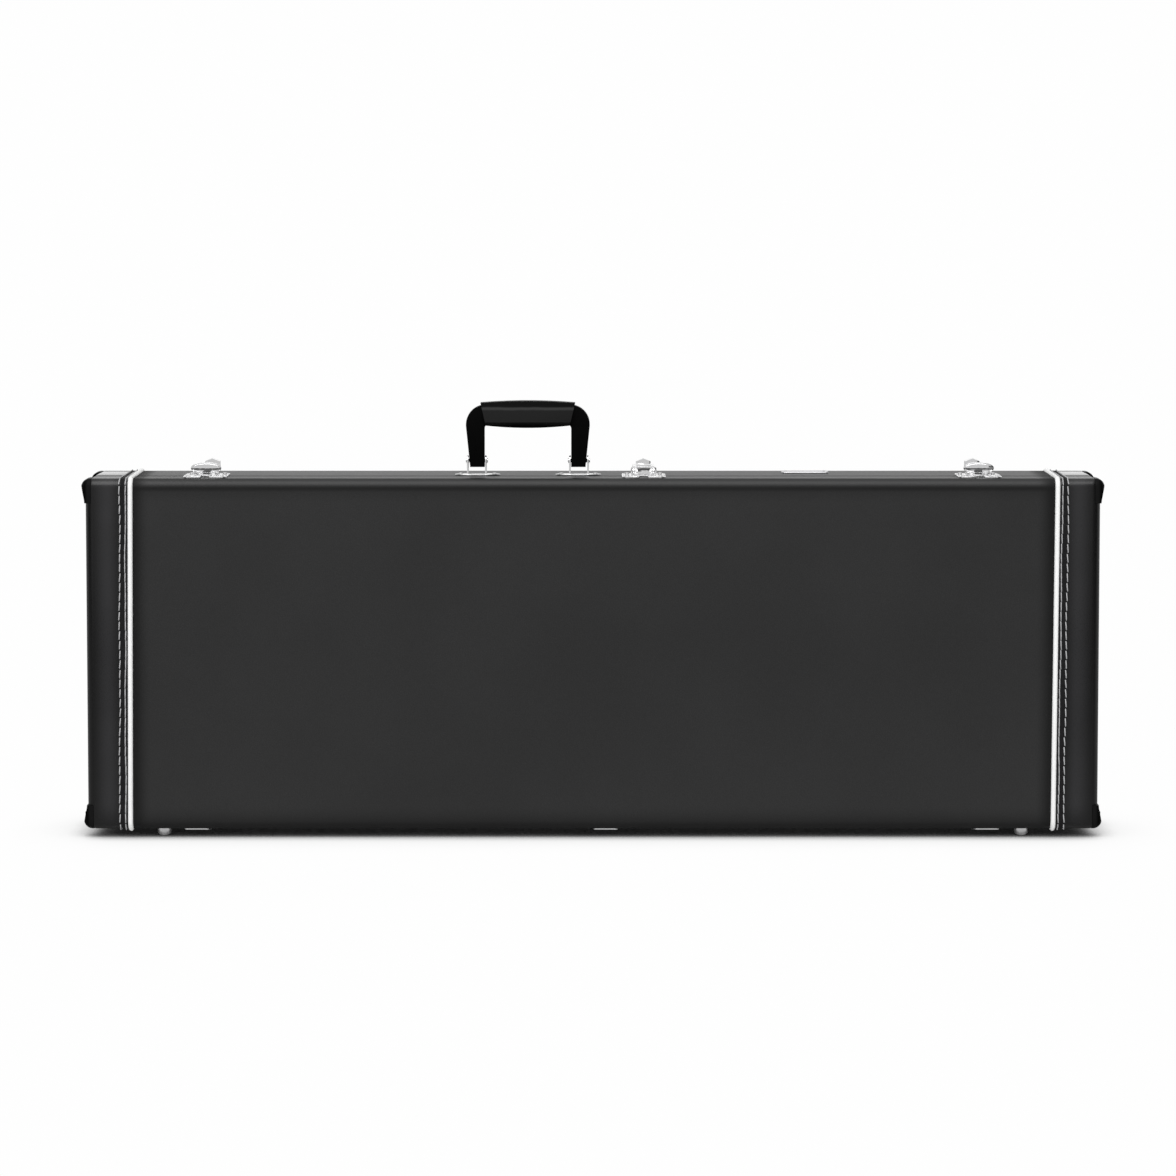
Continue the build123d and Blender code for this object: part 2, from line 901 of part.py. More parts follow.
def arched_wall(x, wall_front):
    """Front wall of the centre loop, with two arches."""
    with BuildPart() as wall:
        with BuildSketch(facing(wall_front)):
            with Locations((x, top + (loop_wall_bottom + loop_wall_top) / 2)):
                RectangleRounded(2 * loop_outer, loop_wall_top - loop_wall_bottom, loop_corner)
            for side in (-1, 1):
                centre = x + side * (loop_outer - arch_inset)
                with Locations((centre, top + arch_bottom + arch_spring)):
                    Circle(arch_width / 2, mode=Mode.SUBTRACT)
                with Locations((centre, top + arch_bottom + arch_spring / 2)):
                    Rectangle(arch_width, arch_spring, mode=Mode.SUBTRACT)
        extrude(amount=-loop_wall_thickness)
    return wall.part


def oval_wall(x, wall_front):
    """Oval front wall of a side loop, with a tongue behind the hook and a raised middle."""
    centre = (x, top + oval_height)
    with BuildPart() as wall:
        with BuildSketch(facing(wall_front)):
            with Locations(centre):
                Ellipse(oval_half_width, oval_half_height)
            with Locations((x, top + (loop_wall_bottom + oval_height) / 2)):
                Rectangle(oval_tongue_width, oval_height - loop_wall_bottom)
        extrude(amount=-loop_wall_thickness)
        with BuildSketch(facing(wall_front)):
            with Locations(centre):
                Ellipse(oval_half_width - oval_rim_inset, oval_half_height - oval_rim_inset)
        extrude(amount=oval_rim_proud)
    return wall.part


def latch_loop(x, wall):
    """Stamped draw loop: two arms and a front wall."""
    pivot = (parting + loop_pivot_back, top + loop_pivot_height)
    wall_back = parting + lever_pivot_back - loop_reach
    wall_front = wall_back - loop_wall_thickness
    with BuildPart() as loop:
        add(wall(x, wall_front))
        for side in (-1, 1):
            arm = sorted((x + side * loop_inner, x + side * loop_outer))
            slab(
                arm,
                (wall_front, pivot[0]),
                (pivot[1] - loop_arm_half_height, pivot[1] + loop_arm_half_height),
            )
            with BuildSketch(Plane.YZ.offset(arm[0])):
                with Locations(pivot):
                    Circle(loop_arm_half_height)
            extrude(amount=loop_arm_thickness)
            inner = x + side * (loop_inner - lever_cheek)
            pin = sorted((inner, x + side * loop_inner))
            with BuildSketch(Plane.YZ.offset(pin[0])):
                with Locations(pivot):
                    Circle(loop_pin_radius)
            extrude(amount=pin[1] - pin[0])
    return loop.part


for name, x in zip(latch_names, latch_positions):
    save(latch_base(x), f"latch_base_{name}")
    save(latch_keeper(x), f"latch_keeper_{name}")
    tab_shift = {"left": side_tab_shift, "centre": 0.0, "right": -side_tab_shift}[name]
    save(latch_lever(x, x + tab_shift), f"latch_lever_{name}")
    save(latch_loop(x, arched_wall if name == "centre" else oval_wall), f"latch_loop_{name}")

with BuildPart() as latch_pivot_pins:
    for x in latch_positions:
        with Locations((x, parting + lever_pivot_back, top + lever_pivot_height)):
            Cylinder(lever_pin_radius, 2 * lever_half_width, rotation=(0, 90, 0))
save(latch_pivot_pins.part, "latch_pivot_pins")

# Handle
pivot_z = top + handle_pivot_height
handle_plane = Plane((handle_x, handle_y, pivot_z), x_dir=(1, 0, 0), z_dir=(0, -1, 0))
with BuildPart() as handle_legs:
    with BuildSketch(handle_plane) as frame:
        with BuildLine():
            Polyline(
                (-handle_leg_outer, -handle_leg_drop),
                (-handle_shoulder_outer, handle_shoulder_height),
                (-handle_shoulder_outer, handle_frame_top),
                (handle_shoulder_outer, handle_frame_top),
                (handle_shoulder_outer, handle_shoulder_height),
                (handle_leg_outer, -handle_leg_drop),
                (handle_leg_inner, -handle_leg_drop),
                (handle_leg_inner, handle_bar_bottom),
                (-handle_leg_inner, handle_bar_bottom),
                (-handle_leg_inner, -handle_leg_drop),
                close=True,
            )
        make_face()
        shoulders = frame.vertices().filter_by(lambda v: v.Y > handle_frame_top - lining_gap)
        fillet(shoulders, handle_corner_radius)
        crooks = frame.vertices().filter_by(lambda v: abs(v.Y - handle_bar_bottom) < lining_gap)
        fillet(crooks, handle_inner_radius)
    extrude(amount=handle_leg_thickness / 2, both=True)
    for offset in (-bracket_offset, bracket_offset):
        with Locations((handle_x + offset, handle_y, pivot_z)):
            Cylinder(
                handle_pin_radius + running_clearance,
                bracket_ear_outer,
                rotation=(0, 90, 0),
                mode=Mode.SUBTRACT,
            )
save(handle_legs.part, "handle_legs")

with BuildPart() as handle_grip:
    with BuildSketch(handle_plane):
        with BuildLine():
            Line((-grip_bottom_half, grip_bottom), (-grip_top_half, grip_top))
            ThreePointArc(
                (-grip_top_half, grip_top), (0, grip_top + grip_crown), (grip_top_half, grip_top)
            )
            Line((grip_top_half, grip_top), (grip_bottom_half, grip_bottom))
            ThreePointArc(
                (grip_bottom_half, grip_bottom),
                (0, grip_bottom - grip_belly),
                (-grip_bottom_half, grip_bottom),
            )
        make_face()
    extrude(amount=grip_half_thickness, both=True)
    with BuildSketch(Plane.YZ.offset(handle_x - grip_top_half)):
        with Locations((handle_y, pivot_z)):
            Polygon(
                (-grip_crest_half, grip_top + grip_crown),
                (-grip_crest_half, grip_top - grip_band),
                (-grip_half_thickness, grip_top - grip_waist),
                (-grip_foot_half, grip_bottom - grip_belly),
                (grip_foot_half, grip_bottom - grip_belly),
                (grip_half_thickness, grip_top - grip_waist),
                (grip_crest_half, grip_top - grip_band),
                (grip_crest_half, grip_top + grip_crown),
                align=None,
            )
    extrude(amount=2 * grip_top_half, mode=Mode.INTERSECT)
    add(handle_legs.part, mode=Mode.SUBTRACT)
save(handle_grip.part, "handle_grip")

for name, centre in zip(("left", "right"), bracket_centres):
    side = -1 if name == "left" else 1
    ears = sorted((handle_x + side * bracket_ear_inner, handle_x + side * bracket_ear_outer))
    with BuildPart() as bracket:
        with BuildSketch(Plane.XY.offset(top)):
            with Locations((centre, handle_y)):
                Ellipse(bracket_length / 2, bracket_width / 2)
            with Locations(((ears[0] + ears[1]) / 2, handle_y)):
                Rectangle(
                    ears[1] - ears[0] - 2 * bracket_ear_thickness,
                    bracket_window_width,
                    mode=Mode.SUBTRACT,
                )
        extrude(amount=plate_thickness)
        for low in (ears[0], ears[1] - bracket_ear_thickness):
            with BuildSketch(Plane.YZ.offset(low)):
                with Locations((handle_y, pivot_z)):
                    Circle(bracket_ear_width / 2)
                with Locations((handle_y, (top + pivot_z) / 2)):
                    Rectangle(bracket_ear_width, handle_pivot_height)
            extrude(amount=bracket_ear_thickness)
        with Locations(((ears[0] + ears[1]) / 2, handle_y, pivot_z)):
            Cylinder(
                handle_pin_radius + running_clearance,
                bracket_length,
                rotation=(0, 90, 0),
                mode=Mode.SUBTRACT,
            )
        places = [p for p in bracket_rivets if abs(p[0] - centre) < bracket_length]
        drill(places, rivet_radius, top, top + plate_thickness)
    save(bracket.part, f"handle_bracket_{name}")

with BuildPart() as handle_pivot_pins:
    for side in (-1, 1):
        inner = handle_x + side * bracket_ear_inner
        outer = handle_x + side * bracket_ear_outer
        with Locations(((inner + outer) / 2, handle_y, pivot_z)):
            Cylinder(handle_pin_radius, abs(outer - inner), rotation=(0, 90, 0))
        for place, way in ((inner, -side), (outer, side)):
            with Locations((place + way * handle_pin_head / 2, handle_y, pivot_z)):
                Cylinder(handle_pin_head_radius, handle_pin_head, rotation=(0, 90, 0))
save(handle_pivot_pins.part, "handle_pivot_pins")

# Blank nameplate
with BuildPart() as nameplate:
    with BuildSketch(Plane.XY.offset(top)):
        with Locations((nameplate_x, nameplate_y)):
            RectangleRounded(nameplate_length, nameplate_width, nameplate_corner)
    extrude(amount=nameplate_thickness)
    chamfer(nameplate.faces().sort_by(Axis.Z)[-1].edges(), nameplate_bevel)
    drill(nameplate_pins, nameplate_pin_radius, top, top + nameplate_thickness)
save(nameplate.part, "nameplate")
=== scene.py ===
"""Looks of a hardshell electric guitar case, laid out as an add-on and run as a script."""

import math
import random
from contextlib import contextmanager

import bpy
from bpy.props import FloatProperty, FloatVectorProperty, IntProperty, PointerProperty
from mathutils import Matrix, Vector, noise


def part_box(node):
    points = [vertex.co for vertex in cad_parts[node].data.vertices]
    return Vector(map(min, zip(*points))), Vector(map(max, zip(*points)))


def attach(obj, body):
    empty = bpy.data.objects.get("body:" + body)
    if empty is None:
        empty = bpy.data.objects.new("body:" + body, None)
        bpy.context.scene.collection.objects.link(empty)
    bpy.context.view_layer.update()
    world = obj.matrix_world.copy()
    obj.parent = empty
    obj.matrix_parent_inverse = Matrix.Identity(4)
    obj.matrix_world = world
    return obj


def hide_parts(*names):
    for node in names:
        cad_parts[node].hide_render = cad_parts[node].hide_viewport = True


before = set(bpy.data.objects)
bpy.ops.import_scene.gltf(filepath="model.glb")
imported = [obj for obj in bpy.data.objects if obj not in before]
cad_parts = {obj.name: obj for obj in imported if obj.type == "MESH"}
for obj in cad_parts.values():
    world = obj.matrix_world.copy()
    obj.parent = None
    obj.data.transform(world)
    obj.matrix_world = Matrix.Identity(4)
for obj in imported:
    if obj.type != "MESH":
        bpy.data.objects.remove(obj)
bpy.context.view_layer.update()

bl_info = {
    "name": "Guitar case",
    "version": (1, 0, 0),
    "blender": (4, 5, 0),
    "location": "View3D > Sidebar > Guitar case",
    "description": "Builds the finish, the seams, the hardware and the lining of a guitar case",
    "category": "Object",
}

# Places taken from the frame, in metres
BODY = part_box("body_covering")
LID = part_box("lid_covering")
FRONT = LID[0][1]
BACK = BODY[1][1]
LID_EDGE = LID[1][1]
BODY_EDGE = BODY[0][1]
PARTING = (LID_EDGE + BODY_EDGE) / 2
BOTTOM = BODY[0][2]
TOP = BODY[1][2]
MIDDLE = (TOP + BOTTOM) / 2
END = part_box("body_end_cap_right")[1][0]
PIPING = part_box("body_piping_right")
PIPING_X = (PIPING[0][0] + PIPING[1][0]) / 2

# Radius of the edges round the front and the back
EDGE_RADIUS = 0.009
# Rounding of the covering and the caps where the lid meets the body
MOUTH_RADIUS = 0.0013
# Points closer than this are merged
SAME_POINT = 1e-6

SIDES = (("left", -1), ("right", 1))
# Each half's name in the frame, its edge at the parting line and its outer face
HALVES = (("body", BODY_EDGE, BACK), ("lid", LID_EDGE, FRONT))
# The body of the frame that each half rides on
HALF_BODY = {"body": "case_body", "lid": "lid"}
LATCHES = ("left", "centre", "right")

BLACK = (0.0, 0.0, 0.0)
WHITE = (1.0, 1.0, 1.0)
# What every colour setting has in common
COLOUR = {"subtype": "COLOR", "size": 3, "min": 0, "max": 1}


class StageSettings(bpy.types.PropertyGroup):
    """Camera, lights and floor shadow of the studio."""

    camera_x: FloatProperty(
        name="Camera X", description="Camera's place along the case", default=-0.005, unit="LENGTH")
    camera_y: FloatProperty(
        name="Camera Y", description="Camera's place in front of the case", default=-4.01,
        unit="LENGTH")
    camera_z: FloatProperty(
        name="Camera Z", description="Camera's height over the floor", default=0.691,
        unit="LENGTH")
    camera_tilt: FloatProperty(
        name="Tilt", description="How far the camera looks down", default=math.radians(4),
        subtype="ANGLE")
    camera_shift: FloatProperty(
        name="Shift", description="Vertical shift of the lens", default=-0.1316)
    focal_length: FloatProperty(
        name="Focal length", description="Lens on a 36 mm sensor", default=119.4, min=1)
    sky_strength: FloatProperty(
        name="Sky", description="Strength of the even studio light", default=0.45, min=0)
    key_strength: FloatProperty(
        name="Key light", description="Strength of the light above the camera", default=1.5,
        min=0)
    fill_strength: FloatProperty(
        name="Fill light", description="Strength of the low light beside the camera",
        default=0.6, min=0)
    shadow_core: FloatProperty(
        name="Shadow core", description="Reach of the dark shadow where the case stands",
        default=0.036, min=0, unit="LENGTH")
    shadow_reach: FloatProperty(
        name="Shadow reach", description="Reach of the faint shadow round the case",
        default=0.10, min=0, unit="LENGTH")


class FinishSettings(bpy.types.PropertyGroup):
    """Colours of the case."""

    vinyl: FloatVectorProperty(
        name="Vinyl", description="Grained covering", default=(0.0220, 0.0220, 0.0223),
        **COLOUR)
    leatherette: FloatVectorProperty(
        name="Leatherette", description="Smooth end caps", default=(0.0200, 0.0197, 0.0211),
        **COLOUR)
    piping: FloatVectorProperty(
        name="Piping", description="White bead over the seams", default=(0.985, 0.985, 0.98),
        **COLOUR)
    thread: FloatVectorProperty(
        name="Thread", description="Stitches", default=(0.62, 0.62, 0.63), **COLOUR)
    plush: FloatVectorProperty(
        name="Plush", description="Lining", default=(0.020, 0.020, 0.022), **COLOUR)


class SeamSettings(bpy.types.PropertyGroup):
    """Stitches beside the piping, and the lean of the seams."""

    pitch: FloatProperty(
        name="Pitch", description="From one stitch to the next", default=0.0098, min=0.001,
        unit="LENGTH")
    stitch_length: FloatProperty(
        name="Stitch", description="Length of thread that shows", default=0.0092, min=0.001,
        unit="LENGTH")
    thread_radius: FloatProperty(
        name="Thread", description="Radius of the thread", default=0.00062, min=0.0001,
        unit="LENGTH")
    inner_row: FloatProperty(
        name="Inner row", description="From the piping's middle", default=0.0050,
        unit="LENGTH")
    outer_row: FloatProperty(
        name="Outer row", description="From the piping's middle", default=0.0108,
        unit="LENGTH")
    slant: FloatProperty(
        name="Slant", description="Angle of a stitch to its row", default=math.radians(4.5),
        subtype="ANGLE")
    lean: FloatProperty(
        name="Lean", description="Sideways lean of the seams over their height",
        default=0.0062)
    facets: IntProperty(
        name="Facets", description="Sides of a stitch", default=8, min=4, max=16)


class Value:
    """A socket of a material that takes part in Python expressions."""

    def __init__(self, shader, socket):
        self.shader = shader
        self.socket = socket

    def __add__(self, other):
        return self.shader.math("ADD", self, other)

    def __radd__(self, other):
        return self.shader.math("ADD", other, self)

    def __sub__(self, other):
        return self.shader.math("SUBTRACT", self, other)

    def __rsub__(self, other):
        return self.shader.math("SUBTRACT", other, self)

    def __mul__(self, other):
        return self.shader.math("MULTIPLY", self, other)

    def __gt__(self, other):
        return self.shader.math("GREATER_THAN", self, other)


class Shader:
    """The node tree of one material or world, filled by expressions."""

    def __init__(self, owner):
        owner.use_nodes = True
        self.owner = owner
        self.tree = owner.node_tree
        self.tree.nodes.clear()

    def node(self, kind, settings=None, inputs=None, output=0):
        """Add a node, set it up, feed its sockets and return one of its outputs."""
        made = self.tree.nodes.new(kind)
        for key, value in (settings or {}).items():
            setattr(made, key, value)
        for key, value in (inputs or {}).items():
            self.feed(made.inputs[key], value)
        return Value(self, made.outputs[output]) if made.outputs else None

    def feed(self, socket, value):
        """Link a value to a socket, or set the socket's own number or colour."""
        if isinstance(value, Value):
            self.tree.links.new(value.socket, socket)
        elif socket.type == "RGBA" and len(value) == 3:
            socket.default_value = (*value, 1.0)
        else:
            socket.default_value = value

    def math(self, operation, *values):
        return self.node("ShaderNodeMath", {"operation": operation}, dict(enumerate(values)))

    def clamp(self, value):
        return self.node("ShaderNodeClamp", None, {"Value": value})

    def ramp(self, value, low, high, start=0.0, stop=1.0):
        """Smooth step of a value from low to high, given as start to stop."""
        return self.node(
            "ShaderNodeMapRange", {"interpolation_type": "SMOOTHSTEP"},
            {"Value": value, "From Min": low, "From Max": high, "To Min": start, "To Max": stop})

    def gap(self, value, place):
        """How far a value is from a place, on either side of it."""
        return self.math("ABSOLUTE", value - place)

    def mix(self, factor, first, second):
        return self.node(
            "ShaderNodeMix", {"data_type": "RGBA"}, {0: factor, 6: first, 7: second}, 2)

    def shaded(self, tone, colour):
        """A colour times a tone that may be up to 2."""
        return self.mix(tone * 0.5, BLACK, times(colour, 2.0))

    def place(self, scale=(1.0, 1.0, 1.0), turn=(0.0, 0.0, 0.0)):
        """Object coordinates, turned and stretched."""
        point = self.node("ShaderNodeTexCoord", output="Object")
        return self.node(
            "ShaderNodeMapping", None, {"Vector": point, "Rotation": turn, "Scale": scale})

    def axis(self, name):
        """One of the object coordinates."""
        point = self.node("ShaderNodeTexCoord", output="Object")
        return self.node("ShaderNodeSeparateXYZ", None, {"Vector": point}, name)

    def noise(self, place, scale, detail=2.0, roughness=0.5):
        return self.node(
            "ShaderNodeTexNoise", None,
            {"Vector": place, "Scale": scale, "Detail": detail, "Roughness": roughness})

    def cells(self, place, scale):
        return self.node(
            "ShaderNodeTexVoronoi", {"feature": "SMOOTH_F1"},
            {"Vector": place, "Scale": scale}, "Distance")

    def near(self, place, reach, depth):
        """Painted shade within reach of a distance from the case's middle, at both ends."""
        distance = self.gap(self.off_middle(), place)
        return self.ramp(distance, 0.0, reach, 1.0 - depth, 1.0)

    def off_middle(self):
        """Distance along the case from its middle."""
        return self.math("ABSOLUTE", self.axis("X"))

    def groove(self):
        """Mask of the two turned edges where the lid meets the body, which gives them painted shade
        and more roughness.
        """
        distance = self.gap(self.axis("Y"), PARTING)
        return self.ramp(distance, 0.0014, 0.0034, 1.0, 0.0)

    def bump(self, height, distance, strength=1.0):
        return self.node(
            "ShaderNodeBump", None,
            {"Height": height, "Distance": distance, "Strength": strength})

    def finish(self, **sockets):
        """Close the material with a Principled shader and return it."""
        named = {key.replace("_", " "): value for key, value in sockets.items()}
        surface = self.node("ShaderNodeBsdfPrincipled", None, named)
        self.node("ShaderNodeOutputMaterial", None, {"Surface": surface})
        return self.owner


def times(colour, factor):
    """A colour made lighter or darker."""
    return [factor * part for part in colour]


def new_material(name):
    """The empty shader of a new material."""
    return Shader(bpy.data.materials.new(name))


def grained_vinyl(colour):
    """Black covering with a fine pebble grain, with painted shade along its edges."""
    shader = new_material("grained_vinyl")
    place = shader.place()
    pebbles = shader.cells(place, 1050.0)
    fine = shader.noise(place, 2600.0, 2.0)
    cloud = shader.noise(place, 7.0, 3.0)
    mottle = shader.ramp(cloud, 0.3, 0.7, 0.92, 1.08) * shader.ramp(pebbles, 0.0, 0.6, 1.12, 0.8)
    # Painted shade beside the piping, at the foot, near the top, in a line under the turned edge
    # and at the parting line
    height = shader.axis("Z")
    ends = shader.near(PIPING_X - 0.003, 0.018, 0.95)
    foot = shader.ramp(height, BOTTOM - 0.004, BOTTOM + 0.026, 0.05, 1.0)
    head = shader.ramp(height, TOP - 0.026, TOP - 0.009, 1.0, 0.7)
    under_turn = shader.gap(height, TOP - EDGE_RADIUS - 0.0008)
    line = shader.ramp(under_turn, 0.0, 0.0042, 0.3, 1.0)
    groove = shader.groove()
    sheen = shader.ramp(fine, 0.2, 0.8, 0.36, 0.5)
    return shader.finish(
        Base_Color=shader.shaded(mottle * ends * foot * head * line * (1.0 - groove), colour),
        Roughness=shader.clamp(sheen + groove + (1.0 - ends * foot) * 0.3),
        Normal=shader.bump(pebbles + fine * 0.35, 0.00010, 0.6),
        Specular_IOR_Level=0.38)


def leatherette(colour):
    """Smooth satin leatherette of the end caps."""
    shader = new_material("leatherette")
    place = shader.place()
    creases = shader.cells(place, 620.0)
    fine = shader.noise(place, 1900.0, 2.0)
    waves = shader.noise(place, 14.0, 2.0)
    mottle = shader.ramp(waves, 0.3, 0.7, 0.9, 1.1)
    # Painted shade at the outer ends, along the seam, at the foot and at the parting line
    height = shader.axis("Z")
    ends = shader.near(END - 0.004, 0.019, 1.0)
    seam = shader.near(PIPING_X + 0.009, 0.013, 0.8)
    foot = shader.ramp(height, BOTTOM, BOTTOM + 0.03, 0.1, 1.0)
    groove = shader.groove()
    # Polished on the top face of the body, away from its two long edges
    across = shader.axis("Y")
    on_top = height > TOP - 0.0006
    fade_in = shader.ramp(across, BODY_EDGE + 0.006, BODY_EDGE + 0.02, 0.0, 1.0)
    fade_out = shader.ramp(across, BACK - 0.03, BACK - 0.016, 1.0, 0.0)
    return shader.finish(
        Base_Color=shader.shaded(mottle * ends * seam * foot * (1.0 - groove), colour),
        Roughness=shader.clamp(shader.ramp(fine, 0.25, 0.75, 0.26, 0.36) + groove),
        Normal=shader.bump(creases * 0.4 + fine * 0.2 + waves * 3.0, 0.00003, 0.4),
        Coat_Weight=on_top * fade_in * fade_out,
        Coat_Roughness=0.06,
        Specular_IOR_Level=0.42)


def channel_shade(colour):
    """Coarse dark strip between the two rows of stitches, its dark colour painted shade of the
    recessed channel there.
    """
    shader = new_material("channel_shade")
    place = shader.place()
    lumps = shader.noise(place, 420.0, 3.0, 0.6)
    weave = shader.cells(place, 900.0)
    return shader.finish(
        Base_Color=shader.mix(lumps, (0.003, 0.003, 0.003), colour),
        Roughness=shader.ramp(lumps, 0.3, 0.7, 0.6, 0.85),
        Normal=shader.bump(lumps + weave * 0.5, 0.0003, 0.8),
        Specular_IOR_Level=0.12)


def white_piping(colour):
    """White vinyl bead, faintly mottled."""
    shader = new_material("white_piping")
    place = shader.place()
    mottle = shader.noise(place, 60.0, 3.0)
    fine = shader.noise(place, 1500.0, 2.0)
    return shader.finish(
        Base_Color=shader.mix(mottle, times(colour, 0.96), colour),
        Roughness=shader.ramp(fine, 0.3, 0.7, 0.32, 0.45),
        Normal=shader.bump(fine, 0.00003, 0.5))


def thread(colour):
    """Twisted sewing thread."""
    shader = new_material("thread")
    twist = shader.node(
        "ShaderNodeTexWave", {"wave_type": "BANDS"},
        {"Vector": shader.place(turn=(0.5, 0.0, 0.9)), "Scale": 700.0, "Distortion": 1.5,
         "Detail": 1.0})
    spread = shader.noise(shader.place(), 150.0, 2.0)
    tone = shader.clamp(twist * 0.5 + spread * 0.6)
    return shader.finish(
        Base_Color=shader.mix(tone, times(colour, 0.55), colour),
        Roughness=shader.ramp(spread, 0.3, 0.7, 0.55, 0.7),
        Normal=shader.bump(twist, 0.0001, 0.6))


def guard_plastic():
    """Black moulded plastic, scuffed a little and paler on the guards' front flanges."""
    shader = new_material("guard_plastic")
    flow = shader.noise(shader.place(), 35.0, 3.0)
    scuffs = shader.noise(shader.place((1.0, 1.0, 6.0)), 900.0, 2.0)
    flange = shader.ramp(shader.off_middle(), END - 0.003, END + 0.0005, 1.0, 0.0)
    return shader.finish(
        Base_Color=shader.mix(
            flange * 0.8 + flow * 0.2, (0.001, 0.001, 0.001), (0.010, 0.010, 0.010)),
        Roughness=shader.ramp(scuffs, 0.45, 0.75, 0.26, 0.4),
        Normal=shader.bump(flow, 0.0002, 0.4),
        Specular_IOR_Level=0.018)


def chrome():
    """Bright plated steel with fine buffing marks."""
    shader = new_material("chrome")
    waves = shader.noise(shader.place(), 90.0, 2.0)
    marks = shader.noise(shader.place((1.0, 14.0, 1.0)), 900.0, 2.0)
    return shader.finish(
        Base_Color=shader.mix(waves, (0.86, 0.86, 0.86), (0.95, 0.95, 0.96)),
        Metallic=1.0,
        Roughness=shader.ramp(marks, 0.4, 0.8, 0.05, 0.15),
        Normal=shader.bump(waves, 0.0006, 0.7))


def handle_plastic():
    """Black moulded plastic with a fine matt texture."""
    shader = new_material("handle_plastic")
    colour = (0.0011, 0.0011, 0.0011)
    place = shader.place()
    spark = shader.cells(place, 1500.0)
    flow = shader.noise(place, 50.0, 3.0)
    return shader.finish(
        Base_Color=shader.mix(flow, times(colour, 0.7), times(colour, 1.3)),
        Roughness=shader.ramp(flow, 0.3, 0.7, 0.4, 0.5),
        Normal=shader.bump(spark, 0.00008, 0.5),
        Specular_IOR_Level=0.06)


def grip_plastic():
    """Grip of the handle: matt sides, a glossier crest with a painted highlight, and painted shade
    on the top band and the underside, which is black.
    """
    shader = new_material("grip_plastic")
    low, high = (corner[2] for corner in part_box("handle_grip"))
    place = shader.place()
    spark = shader.cells(place, 1500.0)
    flow = shader.noise(place, 70.0, 3.0)
    height = shader.axis("Z") + (flow - 0.5) * 0.0012
    crest = high - 0.0078
    # Painted shade on the underside and the top band, painted light rising towards the crest, and a
    # painted highlight along the crest
    crest_gloss_and_highlight = shader.ramp(shader.gap(height, crest), 0.0002, 0.0024, 1.0, 0.0)
    side = shader.ramp(height, low + 0.0026, low + 0.0048, 0.05, 1.0)
    top = shader.ramp(height, crest + 0.0006, crest + 0.0022, 1.0, 0.2)
    sheen = shader.ramp(height, low + 0.004, crest, 0.85, 1.5)
    tone = (side * top * sheen + crest_gloss_and_highlight * 3.6) * 0.2
    return shader.finish(
        Base_Color=shader.mix(tone, BLACK, (0.038, 0.038, 0.038)),
        Roughness=shader.ramp(crest_gloss_and_highlight, 0.0, 1.0, 0.5, 0.36),
        Normal=shader.bump(spark, 0.00008, 0.5),
        Specular_IOR_Level=0.12)


def brushed_metal():
    """Plate brushed along the case."""
    shader = new_material("brushed_metal")
    strokes = shader.noise(shader.place((12.0, 700.0, 700.0)), 3.0, 4.0, 0.7)
    return shader.finish(
        Base_Color=shader.mix(strokes, (0.55, 0.55, 0.56), (0.75, 0.75, 0.76)),
        Metallic=1.0,
        Roughness=shader.ramp(strokes, 0.3, 0.7, 0.22, 0.36),
        Normal=shader.bump(strokes, 0.00006, 0.5))


def plush(colour):
    """Short-pile plush lining."""
    shader = new_material("plush")
    place = shader.place()
    pile = shader.noise(place, 1300.0, 3.0, 0.7)
    nap = shader.noise(shader.place((1.0, 1.0, 2.5)), 60.0, 4.0, 0.65)
    patches = shader.noise(shader.place((1.0, 1.0, 1.6)), 11.0, 3.0, 0.6)
    tone = shader.clamp(pile * 0.5 + nap * 0.7 + patches * 0.8 - 0.55)
    return shader.finish(
        Base_Color=shader.mix(tone, times(colour, 0.5), times(colour, 2.4)),
        Roughness=shader.ramp(nap, 0.3, 0.7, 0.85, 1.0),
        Normal=shader.bump(pile + nap * 1.2, 0.0009, 0.7),
        Sheen_Weight=0.5,
        Sheen_Roughness=0.4,
        Sheen_Tint=(0.6, 0.6, 0.65),
        Specular_IOR_Level=0.15)


def plywood():
    """Plywood, bare under the covering and stained black on its edges and inside."""
    shader = new_material("plywood")
    figure = shader.noise(shader.place((4.0, 60.0, 60.0)), 4.0, 4.0, 0.6)
    layers = shader.node(
        "ShaderNodeTexWave", {"wave_type": "BANDS", "bands_direction": "Z"},
        {"Vector": shader.place(), "Scale": 210.0, "Distortion": 0.6, "Detail": 2.0})
    wood = shader.mix(
        shader.clamp(figure * 0.7 + layers * 0.3), (0.30, 0.20, 0.11), (0.56, 0.42, 0.26))
    stain = (0.010, 0.010, 0.010)
    covering = 0.00102
    outside = 0.0
    for name, centre, reach in (("X", 0.0, END), ("Y", 0.0, BACK), ("Z", MIDDLE, TOP - MIDDLE)):
        outside = outside + (shader.gap(shader.axis(name), centre) > reach - covering)
    return shader.finish(
        Base_Color=shader.mix(shader.clamp(outside), stain, wood),
        Roughness=shader.ramp(figure, 0.3, 0.7, 0.55, 0.75),
        Normal=shader.bump(figure, 0.0002, 0.5))


MATERIALS = {}


def make_materials(finish):
    """Make every finish once."""
    MATERIALS.update({
        "grained_vinyl": grained_vinyl(finish.vinyl),
        "smooth_vinyl": leatherette(finish.leatherette),
        "channel_shade": channel_shade(finish.leatherette),
        "white_piping": white_piping(finish.piping),
        "thread": thread(finish.thread),
        "guard_plastic": guard_plastic(),
        "chrome": chrome(),
        "handle_plastic": handle_plastic(),
        "grip_plastic": grip_plastic(),
        "nameplate_metal": brushed_metal(),
        "plush": plush(finish.plush),
        "plywood": plywood(),
    })


def give(piece, finish):
    """Give a piece one finish and no other."""
    piece.data.materials.clear()
    piece.data.materials.append(MATERIALS[finish])


def dress(node, finish):
    """Give a solid of the frame its finish."""
    give(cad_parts[node], finish)


def alone(piece):
    """Make one object the only selected one."""
    for other in list(bpy.context.selected_objects):
        other.select_set(False)
    piece.select_set(True)
    bpy.context.view_layer.objects.active = piece


